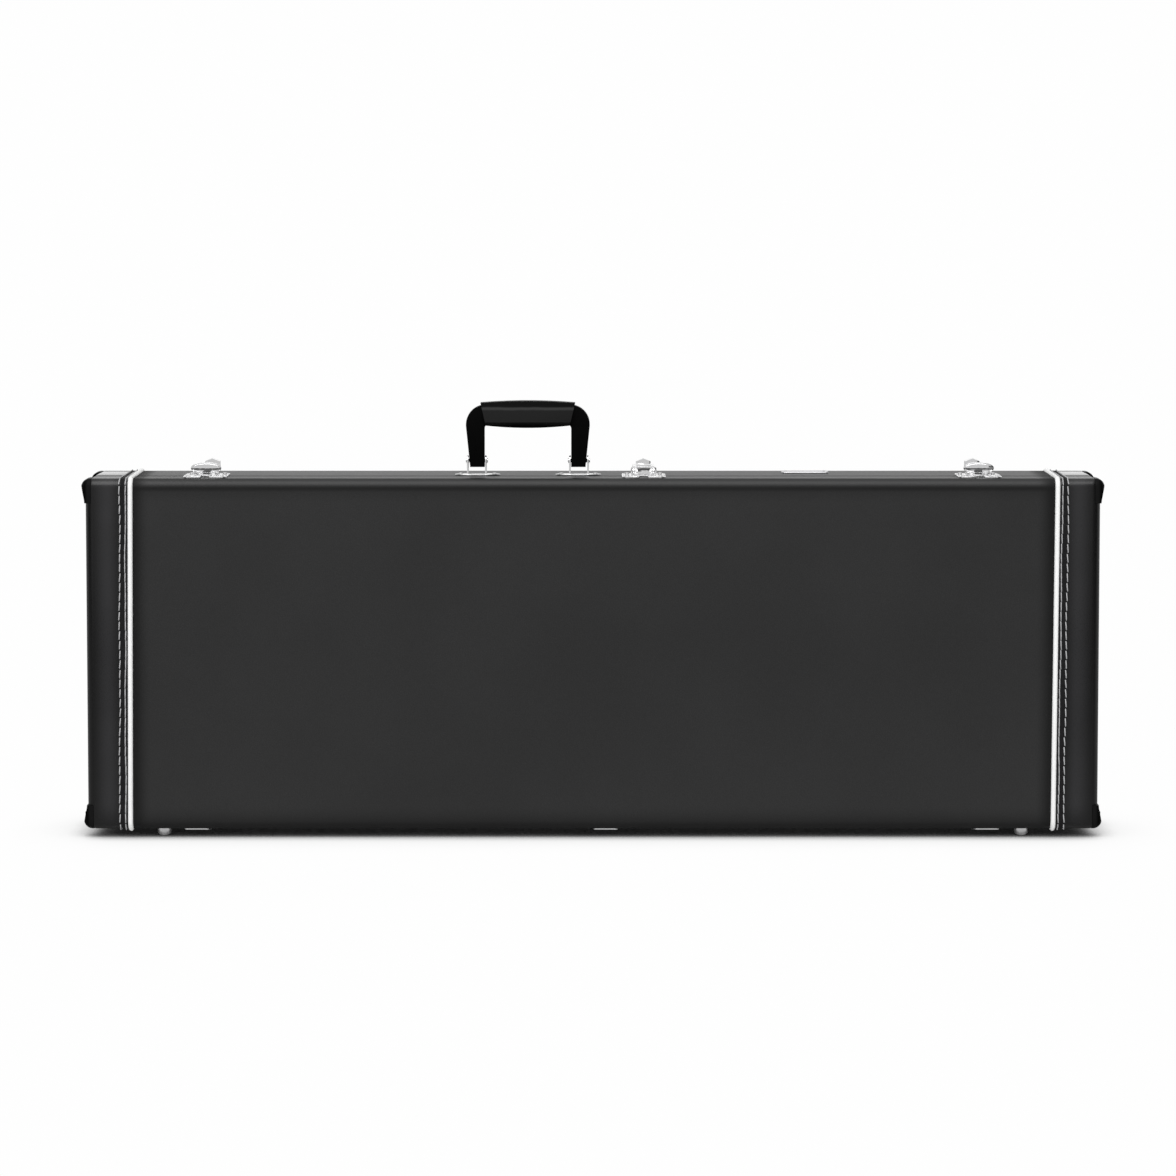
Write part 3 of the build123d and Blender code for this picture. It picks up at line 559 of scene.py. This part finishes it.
@contextmanager
def editing(piece, whole=True):
    """Edit mode on one piece, with all of it or only what was picked selected."""
    alone(piece)
    bpy.ops.object.mode_set(mode="EDIT")
    if whole:
        bpy.ops.mesh.select_all(action="SELECT")
    yield
    bpy.ops.object.mode_set(mode="OBJECT")


def pick(piece, kind, wanted):
    """Select the edges or faces of a piece that are wanted, and nothing else."""
    with editing(piece):
        bpy.ops.mesh.select_mode(type=kind)
        bpy.ops.mesh.select_all(action="DESELECT")
    elements = piece.data.edges if kind == "EDGE" else piece.data.polygons
    for element in elements:
        element.select = wanted(element)


def placed(name, data):
    """New object of a mesh, a lamp or a camera, put in the scene."""
    made = bpy.data.objects.new(name, data)
    bpy.context.scene.collection.objects.link(made)
    return made


def primitive(kind, **settings):
    """Add a mesh primitive with nothing else selected."""
    bpy.ops.object.select_all(action="DESELECT")
    kind(**settings)
    return bpy.context.active_object


def apply_modifier(piece, kind, **settings):
    """Add a modifier, set it up and apply it."""
    alone(piece)
    modifier = piece.modifiers.new(kind.lower(), kind)
    for key, value in settings.items():
        setattr(modifier, key, value)
    bpy.ops.object.modifier_apply(modifier=modifier.name)


def round_edges(piece, width, segments, angle):
    """Round the edges that are sharper than angle, in degrees."""
    apply_modifier(
        piece, "BEVEL", width=width, segments=segments, limit_method="ANGLE",
        angle_limit=math.radians(angle))


def fix_place(piece):
    """Put a piece's place, turn and scale in its mesh."""
    alone(piece)
    bpy.ops.object.transform_apply(location=True, rotation=True, scale=True)


def smooth(piece, angle=35.0):
    """Smooth shading, broken at edges sharper than angle, in degrees."""
    alone(piece)
    bpy.ops.object.shade_smooth_by_angle(angle=math.radians(angle))


def settle(piece, name, body, finish):
    """Name a finished piece, put its place in its mesh and tie it to its body."""
    fix_place(piece)
    piece.name = name
    piece.data.name = name
    give(piece, finish)
    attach(piece, body)


def stand_in(piece, node, body, finish):
    """Settle a finished copy of a solid, which it replaces."""
    settle(piece, node + "_finished", body, finish)
    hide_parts(node)


def copied(node, whole_faces=True):
    """Copy of a solid with its points merged, and its triangles made whole faces if asked."""
    piece = placed(node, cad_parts[node].data.copy())
    with editing(piece):
        bpy.ops.mesh.remove_doubles(threshold=SAME_POINT)
        if whole_faces:
            bpy.ops.mesh.dissolve_limited(angle_limit=math.radians(1))
    return piece


def softened(node, width, segments):
    """Copy of a solid with its sharp edges rounded."""
    piece = copied(node)
    round_edges(piece, width, segments, 40)
    smooth(piece)
    return piece


def soften_node(node, body, finish, width, segments=2):
    """Swap a solid for its copy with rounded edges."""
    stand_in(softened(node, width, segments), node, body, finish)


def outline_gap(point):
    """How far a point lies inside the rounded outline of the case, seen from the front."""
    across = abs(point.x) - (END - EDGE_RADIUS)
    upright = abs(point.z - MIDDLE) - ((TOP - BOTTOM) / 2 - EDGE_RADIUS)
    outside = math.hypot(max(across, 0.0), max(upright, 0.0))
    return EDGE_RADIUS - outside - min(max(across, upright), 0.0)


def turned_edge(node, mouth_y, lean, seam_x):
    """Copy of a covering or cap: its mouth's outer edge rounded, its seam edge leant."""
    piece = copied(node)
    at_mouth, at_outline, at_seam = 0.00001, 0.0002, 0.0005

    def outer_mouth(line):
        ends = [piece.data.vertices[index].co for index in line.vertices]
        return all(abs(end.y - mouth_y) < at_mouth and outline_gap(end) < at_outline
                   for end in ends)

    pick(piece, "EDGE", outer_mouth)
    with editing(piece, whole=False):
        bpy.ops.mesh.bevel(offset=MOUTH_RADIUS, segments=3, affect="EDGES")
    for point in piece.data.vertices:
        if abs(abs(point.co.x) - seam_x) < at_seam:
            point.co.x += lean * (point.co.z - MIDDLE)
    smooth(piece)
    return piece


def block(low, high):
    """Box from one corner to the other, to be shaped further."""
    centre = [(a + b) / 2 for a, b in zip(low, high)]
    piece = primitive(bpy.ops.mesh.primitive_cube_add, size=1, location=centre)
    piece.scale = [b - a for a, b in zip(low, high)]
    fix_place(piece)
    return piece


def open_shell(piece, open_side, wall, rim_radius, corner_radius=0.0):
    """Take the open sides off a block and give the rest a wall with a rounded rim."""
    pick(piece, "FACE", open_side)
    with editing(piece, whole=False):
        bpy.ops.mesh.delete(type="FACE")
        bpy.ops.mesh.select_all(action="SELECT")
        if corner_radius:
            bpy.ops.mesh.bevel(offset=corner_radius, segments=4, affect="EDGES")
        bpy.ops.mesh.normals_make_consistent(inside=False)
    apply_modifier(piece, "SOLIDIFY", thickness=wall, offset=-1.0)
    round_edges(piece, rim_radius, 3, 60)
    smooth(piece, 50)


def joined(pieces):
    """Join separate meshes into one object."""
    alone(pieces[0])
    for piece in pieces:
        piece.select_set(True)
    bpy.ops.object.join()
    return bpy.context.view_layer.objects.active


def copy_of(piece, matrix):
    """Copy of a piece with its own mesh, moved by a matrix."""
    mesh = piece.data.copy()
    mesh.transform(matrix)
    return placed(piece.name, mesh)


class SeamPath:
    """The way round one half of the case, from parting edge to parting edge."""

    def __init__(self, edge, face):
        self.out = 1 if face > edge else -1
        self.edge = edge
        self.turn_y = face - self.out * EDGE_RADIUS
        self.flat = abs(self.turn_y - edge)
        self.tall = TOP - BOTTOM - 2 * EDGE_RADIUS
        self.arc = EDGE_RADIUS * math.pi / 2
        self.length = 2 * self.flat + 2 * self.arc + self.tall

    def at(self, distance):
        """Point on the surface, outward normal and direction at a distance along the way."""
        runs = []
        for run in (self.flat, self.arc, self.tall, self.arc, self.flat):
            runs.append(min(max(distance, 0.0), run))
            distance -= run
        away, first_turn, down, second_turn, back = runs
        angle = (first_turn + second_turn) / EDGE_RADIUS
        depth = away - back + EDGE_RADIUS * math.sin(angle)
        height = TOP - EDGE_RADIUS - down + EDGE_RADIUS * math.cos(angle)
        point = Vector((0, self.edge + self.out * depth, height))
        normal = Vector((0, self.out * math.sin(angle), math.cos(angle)))
        along = Vector((0, self.out * math.cos(angle), -math.sin(angle)))
        return point, normal, along


def wrapped_strip(path, middle_x, width, low, high):
    """Strip laid round one half, from low to high over its surface.

    Its section is extruded along the straight runs and spun about the rounded edges."""
    strip = primitive(
        bpy.ops.mesh.primitive_plane_add, size=1,
        location=(middle_x, path.edge, TOP + (low + high) / 2), rotation=(math.pi / 2, 0, 0))
    strip.scale = (width, high - low, 1)
    fix_place(strip)
    with editing(strip):
        extrude((0, path.out * path.flat, 0))
        spin_corner((path.turn_y, TOP - EDGE_RADIUS), path.out)
        extrude((0, 0, -path.tall))
        spin_corner((path.turn_y, BOTTOM + EDGE_RADIUS), path.out)
        extrude((0, -path.out * path.flat, 0))
        bpy.ops.mesh.select_all(action="SELECT")
        bpy.ops.mesh.remove_doubles(threshold=SAME_POINT)
        bpy.ops.mesh.normals_make_consistent(inside=False)
    return strip


def lean_over(piece, lean):
    """Lean a piece sideways with its seam."""
    for point in piece.data.vertices:
        point.co.x += lean * (point.co.z - MIDDLE)


def extrude(step):
    """Extrude the selected section by a step."""
    bpy.ops.mesh.extrude_region_move(TRANSFORM_OT_translate={"value": step})


def spin_corner(centre, sense):
    """Spin the selected section a quarter turn about a rounded edge."""
    bpy.ops.mesh.spin(steps=6, angle=math.pi / 2 * sense, center=(0, *centre), axis=(1, 0, 0))


def one_stitch(settings, length, thickness):
    """A stitch: a short capsule of thread whose ends dip into the material."""
    radius = settings.thread_radius * thickness
    dip = 0.55 * radius
    stitch = primitive(
        bpy.ops.mesh.primitive_uv_sphere_add, segments=settings.facets, ring_count=6,
        radius=radius, rotation=(0, math.pi / 2, 0))
    fix_place(stitch)
    half = length / 2 - radius
    for vertex in stitch.data.vertices:
        reach = vertex.co.x / radius
        vertex.co.x += half * max(-1.0, min(1.0, 2 * reach))
        vertex.co.z -= dip * reach**2
    return stitch


def laid(spot, direction, normal):
    """Matrix that lays a stitch on a surface at a spot, along a direction."""
    turn = Matrix((direction, normal.cross(direction), normal)).transposed().to_4x4()
    return Matrix.Translation(spot) @ turn


def sewn(pattern, places):
    """Row of copies of a stitch, one for each matrix."""
    row = joined([copy_of(pattern, place) for place in places])
    bpy.data.objects.remove(pattern)
    smooth(row, 60)
    return row


def stitch_row(settings, path, x, tilt, seed, length, thickness):
    """Row of stitches along one seam, tilted, uneven and wandering a little."""
    chance = random.Random(seed)
    uneven = 0.03
    proud = 0.0004
    across = Vector((1, 0, 0))
    count = int(path.length / settings.pitch)
    places = []
    for index in range(count):
        distance = (index + 0.5) * path.length / count
        point, normal, along = path.at(distance)
        turn_by = tilt + chance.uniform(-uneven, uneven)
        direction = along * math.cos(turn_by) + across * math.sin(turn_by)
        wander = 0.00035 * math.sin(41.0 * distance + seed) + 0.0002 * math.sin(97.0 * distance)
        leant = x + settings.lean * (point.z - MIDDLE) + wander
        spot = point + Vector((leant, 0, 0)) + normal * proud
        places.append(laid(spot, direction, normal))
    return sewn(one_stitch(settings, settings.stitch_length * length, thickness), places)


def rays(shader, *kinds):
    """A mask for each kind of ray."""
    return [shader.node("ShaderNodeLightPath", output=f"Is {kind} Ray") for kind in kinds]


class CASE_OT_stage(bpy.types.Operator):
    """Add the floor, the lights and the camera"""

    bl_idname = "guitar_case.stage"
    bl_label = "Stage"

    def execute(self, context):
        settings = context.scene.case_stage
        scene = context.scene
        scene.view_settings.view_transform = "Standard"
        self.light_world(scene, settings)
        self.add_floor(settings)
        self.add_lamp("key_light", settings.key_strength, height=58, side=-12, spread=50)
        self.add_lamp("fill_light", settings.fill_strength, height=20, side=-15, spread=70)
        data = bpy.data.cameras.new("camera")
        data.sensor_width = 36.0
        data.lens = settings.focal_length
        data.shift_y = settings.camera_shift
        camera = placed("camera", data)
        camera.location = (settings.camera_x, settings.camera_y, settings.camera_z)
        camera.rotation_euler = (math.pi / 2 - settings.camera_tilt, 0, 0)
        scene.camera = camera
        return {"FINISHED"}

    def light_world(self, scene, settings):
        """Even light, and a white backdrop whose reflection darkens behind the camera and above."""
        world = bpy.data.worlds.new("studio")
        scene.world = world
        shader = Shader(world)
        camera, glossy, through = rays(shader, "Camera", "Glossy", "Transmission")
        direction = shader.node("ShaderNodeTexCoord", output="Generated")
        backwards, upwards = (
            shader.node("ShaderNodeSeparateXYZ", None, {"Vector": direction}, name)
            for name in ("Y", "Z"))
        band_start = shader.ramp(upwards, 0.35, 0.55, 0.0, 1.0)
        band_end = shader.ramp(upwards, 0.75, 0.95, 1.0, 0.0)
        room = shader.ramp(backwards + upwards, -0.35, 0.8, 0.03, 1.0)
        reflected = room * (1.0 - band_start * band_end * 0.6)
        direct = shader.clamp(camera + through)
        backdrop_white = 0.992
        seen = direct * backdrop_white + glossy * reflected
        unseen = 1.0 - shader.clamp(direct + glossy)
        backdrop = shader.node(
            "ShaderNodeBackground", None,
            {"Color": WHITE, "Strength": seen + unseen * settings.sky_strength})
        shader.node("ShaderNodeOutputWorld", None, {"Surface": backdrop})

    def add_floor(self, settings):
        """Pale floor under the feet, of which the camera sees only the case's shadow."""
        floor = primitive(bpy.ops.mesh.primitive_plane_add, size=60, location=(0, 0, -0.0002))
        floor.name = "floor"
        shader = new_material("floor")
        camera, glossy, shadow = rays(shader, "Camera", "Glossy", "Shadow")
        # Polished pieces reflect a floor that is darker in front of the case
        depth = shader.axis("Y")
        front = shader.ramp(depth, -1.6, 0.1, 0.9, 0.35) * shader.ramp(depth, -4.4, -3.2, 0.2, 1.0)
        pale = shader.mix(glossy * front, (0.85, 0.85, 0.85), BLACK)
        surface = shader.node("ShaderNodeBsdfDiffuse", None, {"Color": pale})
        under = shader.node("ShaderNodeNewGeometry", output="Backfacing")
        shade = shader.ramp(self.openness(shader, settings.shadow_core), 0.05, 0.94, 0.003, 1.0)
        halo = shader.ramp(self.openness(shader, settings.shadow_reach), 0.0, 1.0, 0.72, 1.0)
        tint = shader.mix(camera, WHITE, shader.mix(shade * halo, BLACK, WHITE))
        clear = shader.node("ShaderNodeBsdfTransparent", None, {"Color": tint})
        through = shader.node(
            "ShaderNodeMixShader", None,
            {0: shader.clamp(camera + shadow + under), 1: surface, 2: clear})
        shader.node("ShaderNodeOutputMaterial", None, {"Surface": through})
        floor.data.materials.append(shader.owner)

    def openness(self, shader, reach):
        """Share of the sky that nothing hides within reach."""
        return shader.node(
            "ShaderNodeAmbientOcclusion", {"samples": 8}, {"Distance": reach}, "AO")

    def add_lamp(self, name, strength, height, side, spread):
        """Far wide lamp at a height and to one side of the camera, in degrees."""
        data = bpy.data.lights.new(name, "SUN")
        data.angle = math.radians(spread)
        data.energy = strength
        lamp = placed(name, data)
        lamp.rotation_euler = (math.radians(90 - height), 0, math.radians(side))


class CASE_OT_shell(bpy.types.Operator):
    """Finish the boards, the covering, the end caps, the piping and the lip"""

    bl_idname = "guitar_case.shell"
    bl_label = "Shell"

    def execute(self, context):
        for board in ("top_wall", "bottom_wall", "end_walls"):
            dress(f"body_{board}", "plywood")
            dress(f"lid_{board}", "plywood")
        dress("back_panel", "plywood")
        dress("lid_panel", "plywood")
        lean = context.scene.case_seams.lean
        for half, edge, face in HALVES:
            body = HALF_BODY[half]
            covering = turned_edge(f"{half}_covering", edge, lean, PIPING[0][0])
            stand_in(covering, f"{half}_covering", body, "grained_vinyl")
            for side, _ in SIDES:
                cap = turned_edge(f"{half}_end_cap_{side}", edge, lean, PIPING[1][0])
                stand_in(cap, f"{half}_end_cap_{side}", body, "smooth_vinyl")
                bead = self.bead(f"{half}_piping_{side}", edge, face, lean)
                stand_in(bead, f"{half}_piping_{side}", body, "white_piping")
        soften_node("body_lip", "case_body", "smooth_vinyl", 0.0008, 3)
        return {"FINISHED"}

    def bead(self, node, edge, face, lean):
        """Piping with rounded ends a little short of the mouth, leant with its seam."""
        piece = softened(node, 0.0011, 3)
        lean_over(piece, lean)
        end_length = 0.003
        shorter = math.copysign(0.0012, face - edge)
        for point in piece.data.vertices:
            if abs(point.co.y - edge) < end_length:
                point.co.y += shorter
        return piece


class CASE_OT_seams(bpy.types.Operator):
    """Sew the end caps to the piping"""

    bl_idname = "guitar_case.seams"
    bl_label = "Seams"

    def execute(self, context):
        settings = context.scene.case_seams
        for half, edge, face in HALVES:
            path = SeamPath(edge, face)
            for side_name, side in SIDES:
                self.sew(settings, path, half, side_name, side)
        return {"FINISHED"}

    def sew(self, settings, path, half, side_name, side):
        """Strip of painted channel shade, hem and two rows of stitches beside one length of piping.
        """
        body = HALF_BODY[half]
        gap = settings.outer_row - settings.inner_row
        # A flush dark strip in the channel between the rows, painted as the channel's shade
        shade_strip_x = side * (PIPING_X + settings.inner_row + gap / 2)
        shade_strip_width = gap - 0.0014
        shade_strip = wrapped_strip(path, shade_strip_x, shade_strip_width, -0.0002, 0.0002)
        lean_over(shade_strip, settings.lean)
        settle(shade_strip, f"channel_shade_{half}_{side_name}", body, "channel_shade")
        hem_x = side * (PIPING_X + settings.inner_row)
        hem_width = 0.0026
        hem = wrapped_strip(path, hem_x, hem_width, -0.0004, 0.0003)
        round_edges(hem, 0.0003, 2, 30)
        lean_over(hem, settings.lean)
        smooth(hem)
        settle(hem, f"seam_hem_{half}_{side_name}", body, "smooth_vinyl")
        # Name, distance from the piping's middle, seed, and shares of slant, length and thickness
        rows = (("inner", settings.inner_row, 3, 0.3, 1.08, 0.9),
                ("outer", settings.outer_row, 7, 1.0, 0.95, 1.0))
        for row, place, seed, slant, length, thickness in rows:
            stitches = stitch_row(
                settings, path, side * (PIPING_X + place), side * settings.slant * slant,
                seed + len(half), length, thickness)
            settle(stitches, f"stitches_{row}_{half}_{side_name}", body, "thread")


class CASE_OT_corners(bpy.types.Operator):
    """Finish the corner guards and their studs"""

    bl_idname = "guitar_case.corners"
    bl_label = "Corner guards"

    def execute(self, context):
        for half, _, _ in HALVES:
            soften_node(f"{half}_corners", HALF_BODY[half], "guard_plastic", 0.0006, 3)
            soften_node(f"{half}_corner_studs", HALF_BODY[half], "guard_plastic", 0.0002)
        return {"FINISHED"}


class CASE_OT_latches(bpy.types.Operator):
    """Finish the three draw latches"""

    bl_idname = "guitar_case.latches"
    bl_label = "Latches"

    def execute(self, context):
        for name in LATCHES:
            soften_node(f"latch_base_{name}", "case_body", "chrome", 0.0003)
            soften_node(f"latch_keeper_{name}", "lid", "chrome", 0.0003)
            soften_node(f"latch_lever_{name}", f"lever_{name}", "chrome", 0.0004, 3)
            soften_node(f"latch_loop_{name}", f"loop_{name}", "chrome", 0.0003)
        for node in ("latch_pivot_pins", "body_rivets", "lid_rivets"):
            dress(node, "chrome")
        return {"FINISHED"}


class CASE_OT_handle(bpy.types.Operator):
    """Finish the carry handle and its brackets"""

    bl_idname = "guitar_case.handle"
    bl_label = "Handle"

    def execute(self, context):
        soften_node("handle_legs", "handle", "handle_plastic", 0.0016, 4)
        soften_node("handle_grip", "handle", "grip_plastic", 0.0014, 4)
        for side, _ in SIDES:
            soften_node(f"handle_bracket_{side}", "case_body", "chrome", 0.0003)
        soften_node("handle_pivot_pins", "case_body", "chrome", 0.0003)
        return {"FINISHED"}


class CASE_OT_nameplate(bpy.types.Operator):
    """Finish the blank nameplate"""

    bl_idname = "guitar_case.nameplate"
    bl_label = "Nameplate"

    def execute(self, context):
        soften_node("nameplate", "case_body", "nameplate_metal", 0.0002)
        dress("nameplate_pins", "chrome")
        return {"FINISHED"}


class CASE_OT_underside(bpy.types.Operator):
    """Finish the hinges and the feet"""

    bl_idname = "guitar_case.underside"
    bl_label = "Hinges and feet"

    def execute(self, context):
        soften_node("hinge_body_leaves", "case_body", "chrome", 0.0002)
        soften_node("hinge_lid_leaves", "lid", "chrome", 0.0002)
        for node in ("hinge_pins", "body_hinge_screws", "lid_hinge_screws", "rear_feet",
                     "front_feet"):
            dress(node, "chrome")
        return {"FINISHED"}


def inflate(piece, pressure, reach):
    """Swell a closed skin with cloth pressure, each point by reach at most."""
    scene = bpy.context.scene
    start = [point.co.copy() for point in piece.data.vertices]
    alone(piece)
    cloth = piece.modifiers.new("cloth", "CLOTH")
    settings = cloth.settings
    settings.quality = 5
    settings.mass = 0.3
    settings.tension_stiffness = 15
    settings.compression_stiffness = 15
    settings.shear_stiffness = 5
    settings.bending_stiffness = 0.5
    settings.use_pressure = True
    settings.uniform_pressure_force = pressure
    settings.effector_weights.gravity = 0
    first, last = 1, 20
    cloth.point_cache.frame_start = first
    cloth.point_cache.frame_end = last
    for number in range(first, last + 1):
        scene.frame_set(number)
    bpy.ops.object.modifier_apply(modifier=cloth.name)
    scene.frame_set(first)
    for point, before in zip(piece.data.vertices, start):
        step = point.co - before
        if step.length > reach:
            point.co = before + step * (reach / step.length)


def plush_pad(node, body, voxel, fill, shrink, finer):
    """Foam pad in plush: remeshed, drawn in, rounded, swollen and kept in its solid's box."""
    low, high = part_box(node)
    piece = copied(node, whole_faces=False)
    apply_modifier(piece, "REMESH", mode="VOXEL", voxel_size=voxel)
    apply_modifier(piece, "DISPLACE", strength=-shrink, mid_level=0.0)
    apply_modifier(piece, "SMOOTH", factor=0.5, iterations=9)
    inflate(piece, 4.0, shrink + 0.0002)
    if finer:
        apply_modifier(piece, "SUBSURF", levels=1, render_levels=1)
    # Uneven by less than a millimetre, and never past the solid's box
    for point in piece.data.vertices:
        wave = 0.0005 * noise.noise(point.co * 16.0) + 0.0003 * noise.noise(point.co * 45.0)
        point.co.y += wave
        for axis in range(3):
            point.co[axis] = min(max(point.co[axis], low[axis]), high[axis])
    alone(piece)
    bpy.ops.object.shade_smooth()
    settle(piece, node + "_plush", body, "plush")
    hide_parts(node)


class CASE_OT_lining(bpy.types.Operator):
    """Line the case with plush over foam"""

    bl_idname = "guitar_case.lining"
    bl_label = "Lining"

    def execute(self, context):
        # Solid, body, voxel, fill, how far it is drawn in, and whether it is subdivided
        pads = (("upper_padding", "case_body", 0.006, 0.95, 0.0015, True),
                ("lower_padding", "case_body", 0.006, 0.95, 0.0015, True),
                ("neck_cradle", "case_body", 0.004, 0.9, 0.0012, True),
                ("back_pad", "case_body", 0.006, 0.8, 0.0008, False),
                ("lid_pad", "lid", 0.006, 0.8, 0.0008, False))
        for pad in pads:
            plush_pad(*pad)
        self.line_lid()
        return {"FINISHED"}

    def line_lid(self):
        """Plush on the inner sides of the lid, up to where the body's lip goes in."""
        low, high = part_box("lid_pad")
        lip_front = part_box("body_lip")[0][1]
        margin, overlap, clearance = 0.0002, 0.001, 0.0006
        ring = block((low[0] + margin, high[1] - overlap, low[2] + margin),
                     (high[0] - margin, lip_front - clearance, high[2] - margin))
        open_shell(ring, lambda face: abs(face.normal.y) > 0.5, 0.0016, 0.0006)
        settle(ring, "lid_lining", "lid", "plush")


class CASE_OT_accessories(bpy.types.Operator):
    """Make the accessory compartment, its flap and its pull tab"""

    bl_idname = "guitar_case.accessories"
    bl_label = "Accessory compartment"

    def execute(self, context):
        tray = block(*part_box("accessory_box"))
        wall = 0.0028
        open_shell(tray, lambda face: face.normal.y < -0.5, wall, wall * 0.35, 0.004)
        settle(tray, "accessory_tray", "case_body", "plush")
        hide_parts("accessory_box")
        self.make_flap(context.scene.case_seams)
        self.make_tab(context.scene.case_seams)
        return {"FINISHED"}

    def make_flap(self, seams):
        """Board flap in plush, a little uneven, with a row of stitches in a groove."""
        low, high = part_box("accessory_lid")
        middle = (low[1] + high[1]) / 2
        border = 0.007
        flap = block(low, high)
        with editing(flap):
            bpy.ops.mesh.bevel(offset=0.0016, segments=3, affect="EDGES")
            bpy.ops.mesh.select_all(action="SELECT")
            bpy.ops.mesh.subdivide(number_cuts=24)
        for point in flap.data.vertices:
            inset = min(point.co.x - low[0], high[0] - point.co.x,
                        point.co.z - low[2], high[2] - point.co.z)
            groove = 0.0005 * math.exp(-((inset - border) / 0.0015)**2)
            if point.co.y < middle:
                point.co.y += groove + 0.0002 * noise.noise(point.co * 30.0)
        smooth(flap, 60)
        settle(flap, "accessory_flap_plush", "accessory_flap", "plush")
        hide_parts("accessory_lid")
        border_row = self.border(seams, low, high, border)
        settle(border_row, "accessory_flap_stitches", "accessory_flap", "thread")

    def border(self, seams, low, high, inset):
        """Stitches round a flat panel that faces the lid."""
        left, right = low[0] + inset, high[0] - inset
        bottom, top = low[2] + inset, high[2] - inset
        depth = low[1] + 0.0002
        corners = [Vector((left, depth, bottom)), Vector((right, depth, bottom)),
                   Vector((right, depth, top)), Vector((left, depth, top))]
        pitch, length, thickness = 0.006, 0.0045, 0.6
        places = []
        for start, stop in zip(corners, corners[1:] + corners[:1]):
            run = stop - start
            count = round(run.length / pitch)
            for index in range(count):
                spot = start + run * ((index + 0.5) / count)
                places.append(laid(spot, run.normalized(), Vector((0, -1, 0))))
        return sewn(one_stitch(seams, length, thickness), places)

    def make_tab(self, seams):
        """Pull tab of leatherette with a sewn end."""
        soften_node("accessory_tab", "accessory_flap", "smooth_vinyl", 0.0004, 3)
        low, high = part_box("accessory_tab")
        sewn_length, inset = 0.012, 0.0025
        row = self.border(seams, (low[0], low[1], high[2] - sewn_length), high, inset)
        settle(row, "accessory_tab_stitches", "accessory_flap", "thread")


OPERATORS = (
    CASE_OT_stage, CASE_OT_shell, CASE_OT_seams, CASE_OT_corners, CASE_OT_latches,
    CASE_OT_handle, CASE_OT_nameplate, CASE_OT_underside, CASE_OT_lining,
    CASE_OT_accessories,
)


class CASE_PT_panel(bpy.types.Panel):
    """Sidebar panel with the steps of the build"""

    bl_label = "Guitar case"
    bl_idname = "CASE_PT_panel"
    bl_space_type = "VIEW_3D"
    bl_region_type = "UI"
    bl_category = "Guitar case"

    def draw(self, context):
        for group in GROUPS:
            settings = getattr(context.scene, group)
            box = self.layout.box()
            for name in settings.__annotations__:
                box.prop(settings, name)
        for operator in OPERATORS:
            self.layout.operator(operator.bl_idname)


GROUPS = {
    "case_stage": StageSettings,
    "case_finish": FinishSettings,
    "case_seams": SeamSettings,
}


def register():
    for name, group in GROUPS.items():
        bpy.utils.register_class(group)
        setattr(bpy.types.Scene, name, PointerProperty(type=group))
    for operator in OPERATORS:
        bpy.utils.register_class(operator)
    bpy.utils.register_class(CASE_PT_panel)


def unregister():
    bpy.utils.unregister_class(CASE_PT_panel)
    for operator in reversed(OPERATORS):
        bpy.utils.unregister_class(operator)
    for name, group in reversed(GROUPS.items()):
        delattr(bpy.types.Scene, name)
        bpy.utils.unregister_class(group)


def main():
    register()
    make_materials(bpy.context.scene.case_finish)
    bpy.ops.guitar_case.stage()
    bpy.ops.guitar_case.shell()
    bpy.ops.guitar_case.seams()
    bpy.ops.guitar_case.corners()
    bpy.ops.guitar_case.latches()
    bpy.ops.guitar_case.handle()
    bpy.ops.guitar_case.nameplate()
    bpy.ops.guitar_case.underside()
    bpy.ops.guitar_case.lining()
    bpy.ops.guitar_case.accessories()


if __name__ == "__main__":
    main()
